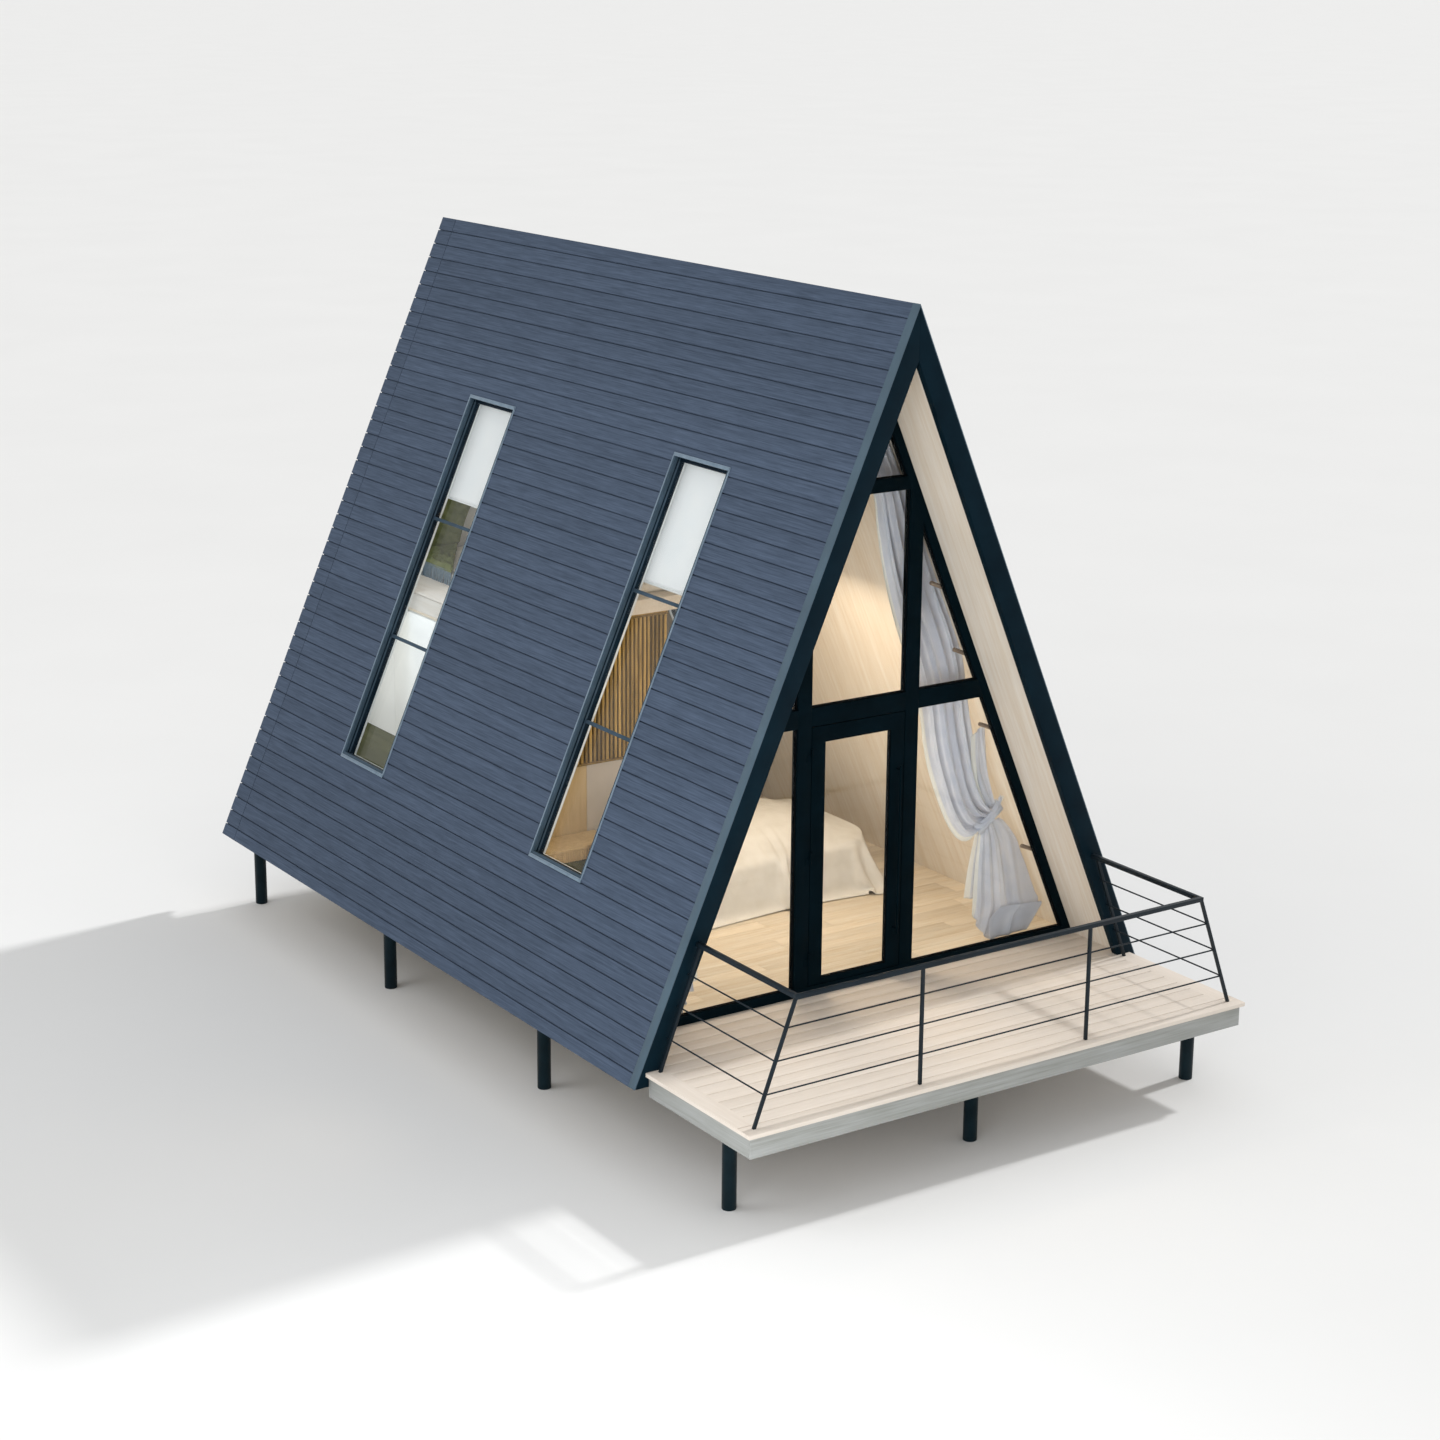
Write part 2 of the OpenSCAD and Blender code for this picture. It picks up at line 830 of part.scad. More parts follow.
// Cloth gathered from the peak to a knot, and its tail down to the floor
module curtain() {
    peak_x = 60;
    knot_half = 95;
    knot_rise = 180;
    side_x = 700;
    side_h = 3300;
    outer_bend_x = 1100;
    outer_bend_h = 2300;
    inner_bend_x = 820;
    inner_bend_h = 2200;
    tail_out_x = 2000;
    tail_out_h = 240;
    tail_in_x = 1340;
    tail_in_h = 380;
    hem_in_x = 1420;
    hem_out_x = 1960;
    across(curtain_y, curtain_y + curtain_t)
        polygon([
            [peak_x, curtain_top],
            [slope_x(curtain_top, roof_t) - soft_gap, curtain_top],
            [side_x, deck_height + side_h],
            [outer_bend_x, deck_height + outer_bend_h],
            [knot_x + knot_half, knot_z + knot_rise],
            [knot_x + knot_half, knot_z],
            [tail_out_x, deck_height + tail_out_h],
            [hem_out_x, curtain_hem],
            [hem_in_x, curtain_hem],
            [tail_in_x, deck_height + tail_in_h],
            [knot_x - knot_half, knot_z],
            [knot_x - knot_half, knot_z + knot_rise],
            [inner_bend_x, deck_height + inner_bend_h]
        ]);
}

module curtains() {
    color("#f2f3f4", 0.8)
        both_sides() curtain();
}

peg_root = 60;

// Round pegs rising out of the right-hand lining
module wall_pegs() {
    color("#6b543c")
        intersection() {
            for (h = peg_heights)
                translate([slope_x(deck_height + h, roof_t), peg_y, deck_height + h])
                    rotate([0, peg_rise - 90, 0])
                        translate([0, 0, -peg_root])
                            cylinder(d = peg_d, h = peg_l + peg_root);
            across(peg_y - peg_d, peg_y + peg_d)
                gable_outline(deck_height);
        }
}

loft_low = deck_height + loft_z;
loft_top = loft_low + loft_t;
loft_front_y = front_y + partition_y;

module slatted_partition() {
    color("#b58b4e")
        across(loft_front_y, loft_front_y + partition_t)
            polygon([
                [-slope_x(deck_height, room_d), deck_height],
                [partition_end_x, deck_height],
                [partition_end_x, loft_low],
                [-slope_x(loft_low, room_d), loft_low]
            ]);
}

module loft_floor() {
    color("#e6dccb")
        across(loft_front_y, rear_wall_y)
            polygon([
                [-slope_x(loft_low, room_d), loft_low],
                [slope_x(loft_low, room_d), loft_low],
                [slope_x(loft_top, room_d), loft_top],
                [-slope_x(loft_top, room_d), loft_top]
            ]);
}

loft_bed_half = 800;
loft_bed_gap = 150;
blanket_x = -700;
blanket_back = 1000;
blanket_w = 1300;

module loft_mattress() {
    color("#f1ede4")
        translate([-loft_bed_half, loft_front_y + loft_bed_gap, loft_top])
            cube([2 * loft_bed_half, rear_wall_y - loft_front_y - 2 * loft_bed_gap, loft_mattress_t]);
}

module loft_blanket() {
    color("#5c6440")
        translate([blanket_x, loft_front_y + blanket_back, loft_top + loft_mattress_t + soft_gap])
            cube([blanket_w, blanket_w, blanket_t]);
}

module wardrobe() {
    slope_gap = 10;
    color("#e9ebea")
        translate([slope_gap - slope_x(loft_low, roof_t), rear_wall_y - wardrobe_l, deck_height])
            cube([wardrobe_d, wardrobe_l, loft_z]);
}

piles();
floor_frame();
floor_panel();
deck_boards();
deck_skirt_front();
deck_skirt_sides();
railing_front();
railing_left();
railing_right();
roof_core_left();
roof_core_right();
roof_cladding_left();
roof_cladding_right();
roof_lining_left();
roof_lining_right();
front_fascia_left();
front_fascia_right();
rear_fascia_left();
rear_fascia_right();
verge_trim();
rear_wall();
rear_cladding();
gable_sill();
mullions();
transoms();
rake_frame_left();
rake_frame_right();
gable_glass();
door_leaf();
door_glass();
door_handle();
hinge_knuckles();
hinge_pins();
roof_window_frames_left();
roof_window_frame_right();
roof_window_glass();
roller_blinds();
bed_base();
mattress();
duvet();
pillows();
curtains();
wall_pegs();
slatted_partition();
loft_floor();
loft_mattress();
loft_blanket();
wardrobe();
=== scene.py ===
# A-frame cabin: boards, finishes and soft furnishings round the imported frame
import math
import random

import bmesh
import bpy
from mathutils import Matrix, Vector, noise


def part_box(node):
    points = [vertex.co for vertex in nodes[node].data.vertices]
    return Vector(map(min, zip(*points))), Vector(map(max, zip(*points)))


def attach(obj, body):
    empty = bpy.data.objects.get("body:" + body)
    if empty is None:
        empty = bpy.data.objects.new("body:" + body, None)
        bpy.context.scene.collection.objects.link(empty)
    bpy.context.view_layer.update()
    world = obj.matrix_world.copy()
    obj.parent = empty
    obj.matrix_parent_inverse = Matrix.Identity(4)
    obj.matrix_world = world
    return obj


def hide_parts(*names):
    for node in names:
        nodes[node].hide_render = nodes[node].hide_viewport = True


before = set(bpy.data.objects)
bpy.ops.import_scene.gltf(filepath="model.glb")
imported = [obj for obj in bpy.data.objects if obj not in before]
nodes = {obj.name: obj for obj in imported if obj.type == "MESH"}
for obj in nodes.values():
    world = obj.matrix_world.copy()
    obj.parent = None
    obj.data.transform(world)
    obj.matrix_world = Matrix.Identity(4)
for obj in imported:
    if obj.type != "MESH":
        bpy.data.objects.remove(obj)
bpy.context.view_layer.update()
draw = random.Random(7)
print("frame loaded:", len(nodes), "nodes")

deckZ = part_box("floor_panel")[1].z
frontY, fasciaBackY = [corner.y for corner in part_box("front_fascia_left")]
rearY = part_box("rear_fascia_left")[1].y
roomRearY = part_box("rear_wall")[0].y
roofLow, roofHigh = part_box("roof_cladding_right")
eavesX, eavesZ, ridgeZ = roofHigh.x, roofLow.z, roofHigh.z
lean = math.atan2(eavesX, ridgeZ - eavesZ)  # a slope's angle from upright
slopeLength = math.hypot(eavesX, ridgeZ - eavesZ)
plankDepth = (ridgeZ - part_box("roof_core_right")[1].z) * math.sin(lean)
roofDepth = (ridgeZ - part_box("rear_wall")[1].z) * math.sin(lean)  # planks, structure and lining


def slopeX(z, depth):  # half width at height z, on a plane this deep in the roof
    return (ridgeZ - z) * math.tan(lean) - depth / math.cos(lean)


def slopeDepth(point):  # how deep in its slope a point lies
    return (slopeX(point.z, 0) - abs(point.x)) * math.cos(lean)


fasciaDepth = max(slopeDepth(corner.co) for corner in nodes["front_fascia_left"].data.vertices)


def slopeMatrix(side):  # local x runs back, y down the slope, z out of it; side is 1 or -1
    sine, cosine = math.sin(lean), math.cos(lean)
    return Matrix((
        (0, side * sine, side * cosine, 0),
        (1, 0, 0, 0),
        (0, -cosine, sine, ridgeZ),
        (0, 0, 0, 1),
    ))


def linear(hexColour):  # sRGB hex to a linear RGBA
    parts = [int(hexColour[i:i + 2], 16) / 255 for i in (1, 3, 5)]
    return [c / 12.92 if c <= 0.04045 else ((c + 0.055) / 1.055) ** 2.4 for c in parts] + [1.0]


def addNode(tree, kind, settings=None, links=None):  # a key is a socket's name or number, or a property
    node = tree.nodes.new(kind)
    for key, value in (settings or {}).items():
        if key == "stops":
            ramp = node.color_ramp.elements
            while len(ramp) < len(value):
                ramp.new(1.0)
            for element, (position, colour) in zip(ramp, value):
                element.position = position
                element.color = colour
        elif isinstance(key, int) or key in node.inputs:
            node.inputs[key].default_value = value
        else:
            setattr(node, key, value)
    for key, source in (links or {}).items():
        tree.links.new(source, node.inputs[key])
    return node


def startMaterial(name, roughness, **sockets):
    material = bpy.data.materials.new(name)
    material.use_nodes = True
    tree = material.node_tree
    shader = tree.nodes["Principled BSDF"]
    shader.inputs["Roughness"].default_value = roughness
    for key, value in sockets.items():
        shader.inputs[key.replace("_", " ")].default_value = value
    coords = addNode(tree, "ShaderNodeTexCoord").outputs["Object"]
    return material, tree, shader, coords


def noiseIn(tree, vector, scale, detail, roughness):
    settings = {"Scale": scale, "Detail": detail, "Roughness": roughness}
    return addNode(tree, "ShaderNodeTexNoise", settings, {"Vector": vector}).outputs["Fac"]


def twoTone(tree, look, low, high, source):  # the look's dark colour up to low, its light one from high
    stops = [(low, linear(look["dark"])), (high, linear(look["light"]))]
    return addNode(tree, "ShaderNodeValToRGB", {"stops": stops}, {0: source}).outputs[0]


def rangeTo(tree, low, high, source):
    return addNode(tree, "ShaderNodeMapRange", {"To Min": low, "To Max": high}, {"Value": source}).outputs[0]


def mixIn(tree, share, first, second):
    return addNode(tree, "ShaderNodeMix", {"data_type": "FLOAT", 0: share}, {2: first, 3: second}).outputs[0]


def bumpOn(tree, shader, strength, distance, height):
    bump = addNode(tree, "ShaderNodeBump", {"Strength": strength, "Distance": distance}, {"Height": height})
    tree.links.new(bump.outputs[0], shader.inputs["Normal"])


grain = {  # lengths and the blotches' width are multiples of a fibre's or a figure's width
    "boardShift": (17, 29, 23), "fibreLong": 40, "blotchWide": 6, "blotchLong": 30, "figureShare": 0.65,
    "rough": 0.6,
}
plainWood = {  # unless a wood says otherwise; reach: how far the grain swings before a colour is full
    "fibreMm": 4, "figureMm": 30, "stretch": 16, "turn": 0.0, "cloud": 0.25, "reach": 0.16, "spread": 0.0,
    "relief": 0.2, "roughness": 0.6, "specular": 0.2,
}
plainCoat = {"peelMm": 3, "relief": 0.1, "roughness": 0.5, "specular": 0.3}


def timber(name, wood):  # sawn or planed wood: fibres, broad figure, one tone a board
    wood = {**plainWood, **wood}
    rough, gloss = wood["roughness"], wood["specular"]
    material, tree, shader, coords = startMaterial(name, rough, Specular_IOR_Level=gloss)
    board = addNode(tree, "ShaderNodeAttribute", {"attribute_name": "board"}).outputs["Fac"]
    shift = {"operation": "MULTIPLY_ADD", 1: grain["boardShift"]}  # each board from its own place in the wood
    moved = addNode(tree, "ShaderNodeVectorMath", shift, {0: board, 2: coords}).outputs[0]
    along = "XYZ".index(wood["along"])

    def streaks(widthMm, stretch, detail):
        size = [widthMm / 1000] * 3
        size[along] = widthMm * stretch / 1000
        turned = addNode(
            tree, "ShaderNodeMapping",
            {"vector_type": "TEXTURE", "Rotation": (0, wood["turn"], 0), "Scale": size}, {"Vector": moved},
        ).outputs[0]
        return noiseIn(tree, turned, 1.0, detail, grain["rough"])

    fibre = streaks(wood["fibreMm"], grain["fibreLong"], 3)
    figure = streaks(wood["figureMm"], wood["stretch"], 4)
    wide = grain["blotchWide"]
    blotch = streaks(wood["figureMm"] * wide, grain["blotchLong"] / wide, 2)
    lines = mixIn(tree, grain["figureShare"], fibre, figure)
    clouded = mixIn(tree, wood["cloud"], lines, blotch)
    colour = twoTone(tree, wood, 0.5 - wood["reach"], 0.5 + wood["reach"], clouded)
    tone = rangeTo(tree, 1 - wood["spread"], 1 + wood["spread"], board)
    toned = addNode(tree, "ShaderNodeHueSaturation", {}, {"Value": tone, "Color": colour}).outputs[0]
    tree.links.new(toned, shader.inputs["Base Color"])
    bumpOn(tree, shader, wood["relief"], wood["fibreMm"] / 4000, fibre)
    return material


def coated(name, coat):  # painted or powder-coated: an even colour, faintly mottled, orange peel in the gloss
    coat = {**plainCoat, **coat}
    rough = coat["roughness"]
    material, tree, shader, coords = startMaterial(name, rough, Specular_IOR_Level=coat["specular"])
    mottle = noiseIn(tree, coords, 1000 / coat["mottleMm"], 4, 0.55)
    tree.links.new(twoTone(tree, coat, 0.3, 0.7, mottle), shader.inputs["Base Color"])
    tree.links.new(rangeTo(tree, rough - 0.06, rough + 0.08, mottle), shader.inputs["Roughness"])
    peel = noiseIn(tree, coords, 1000 / coat["peelMm"], 2, 0.55)
    bumpOn(tree, shader, coat["relief"], coat["peelMm"] / 5000, peel)
    return material


def pane(name, gloss):  # clear float glass: lets lamps and the view through unbent, mirrors more at a glance
    material = bpy.data.materials.new(name)
    material.use_nodes = True
    tree = material.node_tree
    tree.nodes.clear()
    facing = addNode(tree, "ShaderNodeLayerWeight", {"Blend": 0.5}).outputs["Facing"]
    rising = addNode(tree, "ShaderNodeMath", {"operation": "POWER", 1: 5.0}, {0: facing}).outputs[0]
    share = rangeTo(tree, gloss["headOn"], 1.0, rising)
    clear = addNode(tree, "ShaderNodeBsdfTransparent", {"Color": linear(gloss["tint"])}).outputs[0]
    shine = {"Color": (1, 1, 1, 1), "Roughness": gloss["roughness"]}
    mirror = addNode(tree, "ShaderNodeBsdfGlossy", shine).outputs[0]
    mixed = addNode(tree, "ShaderNodeMixShader", {}, {0: share, 1: clear, 2: mirror}).outputs[0]
    addNode(tree, "ShaderNodeOutputMaterial", {}, {0: mixed})
    return material


slateStain = {  # thin slate stain on sawn spruce: matt blue-grey, the fibres show through as fine streaks
    "light": "#58667b", "dark": "#3f4b5c", "figureMm": 9, "stretch": 50, "cloud": 0.12, "reach": 0.14,
    "specular": 0.12, "spread": 0.06, "relief": 0.4, "roughness": 0.7,
}
birch = {  # clear-lacquered birch ply: pale, straight grained, a soft sheen
    "light": "#f8f3ea", "dark": "#e7dac7", "along": "Z", "stretch": 30, "relief": 0.15, "roughness": 0.5,
}
larch = {  # larch under thin white oil: near even cream, only a hint of figure
    "light": "#ece2d7", "dark": "#ddd1c3", "fibreMm": 5, "figureMm": 24, "stretch": 30, "reach": 0.18,
    "spread": 0.02,
}
# the deck's larch greyed and darkened for the skirts: painted shade, as they lie out of the light
shadedSkirtLarch = {**larch, "light": "#b0b2b1", "dark": "#93958f", "figureMm": 22, "reach": 0.14}
roofWood = timber("slate-stained spruce, roof", {**slateStain, "along": "Y"})
gableWood = timber("slate-stained spruce, gable", {**slateStain, "along": "X"})
birchLeft = timber("birch ply lining, left slope", {**birch, "turn": lean})
birchRight = timber("birch ply lining, right slope", {**birch, "turn": -lean})
deckWood = timber("whitewashed larch", {**larch, "along": "X"})
borderWood = timber("whitewashed larch, side borders", {**larch, "along": "Y"})
skirtWood = timber("whitewashed larch, front skirt, painted shade", {**shadedSkirtLarch, "along": "X"})
sideSkirtWood = timber("whitewashed larch, side skirts, painted shade", {**shadedSkirtLarch, "along": "Y"})
oak = timber("oiled oak floor", {  # warm honey, the oil leaves a low gloss
    "light": "#f7f0e2", "dark": "#dfccae", "along": "X", "figureMm": 20, "stretch": 30, "spread": 0.12,
    "relief": 0.15, "roughness": 0.42,
})
pine = timber("planed pine", {  # bare softwood, yellow-brown bands
    "light": "#c9a678", "dark": "#a98355", "along": "Y",
})
joistWood = timber("treated spruce joists", {  # pressure-treated, a dull grey-brown, kept dark partly as painted shade under the floor
    "light": "#7f7a6d", "dark": "#5f5a4f", "along": "X", "figureMm": 26, "relief": 0.3, "roughness": 0.75,
})
loftPine = timber("white-oiled pine loft boards", {  # chalky white, the grain barely shows
    "light": "#f3f0eb", "dark": "#e2dcd2", "along": "Y", "figureMm": 26, "spread": 0.02, "roughness": 0.55,
})
slatPine = timber("oiled pine slats", {  # olive-tinted oil over yellow wood, each slat its own tone
    "light": "#caad6e", "dark": "#776233", "along": "Z", "fibreMm": 3, "figureMm": 12, "stretch": 40,
    "spread": 0.45, "roughness": 0.5,
})
slatGround = timber("dark board behind the slats", {  # brown-olive board, its dark colour painted shade in the gaps between the slats
    "light": "#4d4222", "dark": "#352c14", "along": "Z", "fibreMm": 3,
})
tanPanel = timber("tan oak panel", {  # veneered panel, brushed and oiled
    "light": "#d3c09a", "dark": "#b8a47e", "along": "Z", "fibreMm": 3, "figureMm": 40, "spread": 0.08,
    "relief": 0.15, "roughness": 0.55,
})
oliveBoard = timber("olive base board, painted shade", {  # a muted green-brown, dark as painted shade under the bench and on the wardrobe's lower part
    "light": "#666848", "dark": "#4c5033", "along": "Y", "fibreMm": 3, "relief": 0.15,
})
greyPanel = coated("grey-white laminate", {  # smooth sheet, slightly warm
    "light": "#c6c3c1", "dark": "#bab7b4", "mottleMm": 400, "peelMm": 6, "relief": 0.05,
})
walnut = timber("walnut pegs", {  # turned walnut, brown-grey with paler end grain
    "light": "#a8937e", "dark": "#7b6654", "along": "X", "fibreMm": 3, "figureMm": 12, "roughness": 0.5,
})
navyCoat = coated("navy powder-coated aluminium", {  # satin, sinks to blue-black out of the light
    "light": "#0b212c", "dark": "#061822", "mottleMm": 300, "peelMm": 4, "relief": 0.12, "specular": 0.05,
})
frameCoat = coated("black-blue powder-coated aluminium", {  # matt, close to black
    "light": "#04151d", "dark": "#020e14", "mottleMm": 250, "peelMm": 4, "roughness": 0.55,
    "specular": 0.03,
})
vergeCoat = coated("slate powder-coated steel trim", {  # folded sheet in the planks' own blue-grey
    "light": "#526674", "dark": "#485a67", "mottleMm": 300, "peelMm": 4, "roughness": 0.45, "specular": 0.2,
})
railCoat = coated("slate powder-coated steel railing", {  # dark satin, the rounded top edge catches light
    "light": "#18242c", "dark": "#111b22", "mottleMm": 200, "roughness": 0.42, "specular": 0.2,
})
pileCoat = coated("dark enamelled steel piles", {  # wet-looking dark enamel, greenish black
    "light": "#0f2229", "dark": "#07171d", "mottleMm": 160, "peelMm": 5, "relief": 0.15, "roughness": 0.4,
    "specular": 0.12,
})
whitePaint = coated("white matt wall paint", {  # rolled paint, no shine
    "light": "#e9ebea", "dark": "#e0e3e2", "mottleMm": 500, "peelMm": 8, "relief": 0.15, "roughness": 0.7,
})
windowCoat = coated("teal-grey powder-coated window frame", {  # darker than the roof, satin
    "light": "#435666", "dark": "#374854", "mottleMm": 200, "roughness": 0.45, "specular": 0.15,
})
lipMetal = coated("brushed aluminium window lip", {  # dull metal, a thin pale line round the opening, its paleness partly a painted highlight on the outer edge
    "light": "#93a5b3", "dark": "#7a8c9c", "mottleMm": 120, "roughness": 0.35,
})
flashMetal = coated("folded zinc flashing", {  # a dull pale blue-grey, partly a painted highlight where head and foot catch the light
    "light": "#8093a3", "dark": "#6a7d8e", "mottleMm": 60, "relief": 0.15, "roughness": 0.4,
})
sealCoat = coated("navy lacquered inner frame", {  # nearly black-blue: a dark inner frame, partly painted shade deep in the reveal
    "light": "#10222f", "dark": "#0a1722", "mottleMm": 120, "specular": 0.1,
})
rubber = coated("black rubber glazing seal", {  # soft black, swallows light
    "light": "#0c1013", "dark": "#07090b", "mottleMm": 60, "peelMm": 2, "relief": 0.2, "roughness": 0.7,
    "specular": 0.1,
})
whiteCloth = coated("white cotton", {  # plain weave, no shine, cream in lamplight
    "light": "#edece8", "dark": "#e1dfd9", "mottleMm": 160, "relief": 0.25, "roughness": 0.85,
    "specular": 0.1,
})
fringeYarn = coated("grey-blue wool fringe", {  # loose twisted yarn, dull
    "light": "#8496a4", "dark": "#5c6e7c", "mottleMm": 12, "peelMm": 2, "relief": 0.3, "roughness": 0.9,
    "specular": 0.1,
})
oliveCloth = coated("olive wool", {  # felted, rough, soaks up light
    "light": "#7d8458", "dark": "#5e683d", "mottleMm": 60, "relief": 0.5, "roughness": 0.9, "specular": 0.1,
})
clearGlass = pane("clear float glass", {"headOn": 0.02, "tint": "#fdfefe", "roughness": 0.02})


def sheer(name, cloth):  # thin plain weave: glows with the light behind it, painted shade deep in its folds, a doubled hem along one edge
    material, tree, shader = startMaterial(name, 0.85, Specular_IOR_Level=0.1)[:3]

    def dyed(share, dye, base):
        settings = {"data_type": "RGBA", 7: linear(dye)}
        return addNode(tree, "ShaderNodeMix", settings, {0: share, 6: base}).outputs[2]

    def threads(way):
        settings = {"Scale": 314 / cloth["threadMm"], "bands_direction": way}
        return addNode(tree, "ShaderNodeTexWave", settings, {"Vector": cut}).outputs["Fac"]

    cut = addNode(tree, "ShaderNodeUVMap", {"uv_map": "cut"}).outputs[0]
    colour = twoTone(tree, cloth, 0.35, 0.65, noiseIn(tree, cut, 5.0, 3.0, 0.5))
    # painted shade: the fold attribute darkens the cloth towards a blue-grey deep in its folds
    fold = addNode(tree, "ShaderNodeAttribute", {"attribute_name": "fold"}).outputs["Fac"]
    across = addNode(tree, "ShaderNodeSeparateXYZ", {}, {0: cut}).outputs[0]
    upTo = {"operation": "LESS_THAN", 1: cloth["hemW"]}
    inHem = addNode(tree, "ShaderNodeMath", upTo, {0: across}).outputs[0]
    hemmed = dyed(inHem, cloth["hem"], dyed(fold, cloth["valley"], colour))
    tree.links.new(hemmed, shader.inputs["Base Color"])
    crossing = {0: threads("X"), 1: threads("Y")}
    weave = addNode(tree, "ShaderNodeMath", {"operation": "MULTIPLY"}, crossing).outputs[0]
    bumpOn(tree, shader, 0.2, 0.0002, weave)
    glow = addNode(tree, "ShaderNodeBsdfTranslucent", {}, {"Color": hemmed}).outputs[0]
    bothSides = {1: shader.outputs[0], 2: glow}
    body = addNode(tree, "ShaderNodeMixShader", {0: cloth["glow"]}, bothSides).outputs[0]
    gaps = addNode(tree, "ShaderNodeBsdfTransparent").outputs[0]
    woven = addNode(tree, "ShaderNodeMixShader", {0: cloth["cover"]}, {1: gaps, 2: body}).outputs[0]
    tree.links.new(woven, tree.nodes["Material Output"].inputs["Surface"])
    return material


blindCloth = sheer("white blind cloth", {  # tight coated weave, cool white
    "light": "#fcfdfd", "dark": "#f8fafb", "valley": "#f4f6f7", "hem": "#f4f6f7", "hemW": 0.004,
    "threadMm": 0.8, "glow": 0.08, "cover": 1.0,
})
voile = sheer("sheer cotton voile", {  # cool white, a painted blue-grey shade deep in the folds, a plain white hem
    "light": "#f6f8fe", "dark": "#eaeef7", "valley": "#9ba5b8", "hem": "#fffffb", "hemW": 0.045,
    "threadMm": 1.0, "glow": 0.4, "cover": 0.9,
})

finishes = (
    (pileCoat, "piles"), (joistWood, "floor_frame"), (oak, "floor_panel"), (deckWood, "deck_boards"),
    (skirtWood, "deck_skirt_front"), (sideSkirtWood, "deck_skirt_sides"),
    (railCoat, "railing_front railing_left railing_right"), (pine, "roof_core_left roof_core_right bed_base"),
    (roofWood, "roof_cladding_left roof_cladding_right"), (gableWood, "rear_cladding"),
    (birchLeft, "roof_lining_left"), (birchRight, "roof_lining_right"), (vergeCoat, "verge_trim"),
    (navyCoat, "front_fascia_left front_fascia_right rear_fascia_left rear_fascia_right"),
    (frameCoat, "gable_sill mullions transoms rake_frame_left rake_frame_right"),
    (frameCoat, "door_leaf door_handle hinge_knuckles hinge_pins"),
    (clearGlass, "gable_glass door_glass roof_window_glass"), (whitePaint, "rear_wall wardrobe"),
    (windowCoat, "roof_window_frames_left roof_window_frame_right"), (blindCloth, "roller_blinds"),
    (whiteCloth, "mattress duvet pillows curtains loft_mattress"), (oliveCloth, "loft_blanket"),
    (walnut, "wall_pegs"), (slatPine, "slatted_partition"), (loftPine, "loft_floor"),
)
for material, names in finishes:
    for nodeName in names.split():
        for materialSlot in nodes[nodeName].material_slots:
            materialSlot.material = material
print("finishes given")


def place(name, mesh):  # a bmesh becomes an object in the scene
    data = bpy.data.meshes.new(name)
    mesh.to_mesh(data)
    mesh.free()
    piece = bpy.data.objects.new(name, data)
    bpy.context.scene.collection.objects.link(piece)
    return piece


def finish(mesh, name, material, stands=(), body="cabin", sharpDeg=32):
    bmesh.ops.recalc_face_normals(mesh, faces=mesh.faces)
    piece = place(name, mesh)
    piece.data.materials.append(material)
    piece.data.polygons.foreach_set("use_smooth", [True] * len(piece.data.polygons))
    piece.data.set_sharp_from_angle(angle=math.radians(sharpDeg))
    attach(piece, body)
    if stands:
        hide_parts(*stands)
    return piece


def settle(piece):  # the modifiers' result becomes the piece's mesh
    shown = piece.evaluated_get(bpy.context.evaluated_depsgraph_get())
    data = bpy.data.meshes.new_from_object(shown)
    piece.modifiers.clear()
    piece.data = data


def markTone(mesh, tone):  # faces made since the last call share one tone, as one board does
    layer = mesh.faces.layers.float.get("board") or mesh.faces.layers.float.new("board")
    for face in mesh.faces:
        if face[layer] == 0:
            face[layer] = tone


def easeEdges(mesh, edges, width, segments=2):
    bmesh.ops.bevel(
        mesh, geom=list(edges), offset=width, segments=segments, profile=0.5, affect="EDGES", material=-1,
    )


def boardTone():  # one board's own tone
    return draw.uniform(0.05, 1)


def addBlock(mesh, low, high, easing=0.0, tone=0.5):
    low, high = Vector(low), Vector(high)
    fit = Matrix.Translation((low + high) / 2) @ Matrix.Diagonal((*(high - low), 1))
    corners = bmesh.ops.create_cube(mesh, size=1, matrix=fit)["verts"]
    if easing:
        easeEdges(mesh, {edge for corner in corners for edge in corner.link_edges}, easing)
    markTone(mesh, tone)


def extrude(mesh, faces, run):  # gives the new faces' corners, moved by run
    made = bmesh.ops.extrude_face_region(mesh, geom=faces)["geom"]
    corners = [part for part in made if isinstance(part, bmesh.types.BMVert)]
    bmesh.ops.translate(mesh, verts=corners, vec=run)
    return corners


def addPrism(mesh, outline, run, easing=0.0, eased=(), tone=0.5):  # eased: corners whose long edges are eased
    face = mesh.faces.new([mesh.verts.new(point) for point in outline])
    first = list(face.verts)
    extrude(mesh, [face], run)
    if easing:
        edges = [
            edge for index in eased for edge in first[index].link_edges
            if (edge.other_vert(first[index]).co - first[index].co - Vector(run)).length < 1e-5
        ]
        easeEdges(mesh, edges, easing)
    markTone(mesh, tone)


def clip(mesh, point, normal):  # keeps what lies behind the plane, and closes the cut
    bmesh.ops.bisect_plane(
        mesh, geom=mesh.verts[:] + mesh.edges[:] + mesh.faces[:], plane_co=point, plane_no=normal,
        clear_outer=True, dist=1e-6,
    )
    rims = [edge for edge in mesh.edges if edge.is_boundary]
    bmesh.ops.holes_fill(mesh, edges=rims, sides=0)


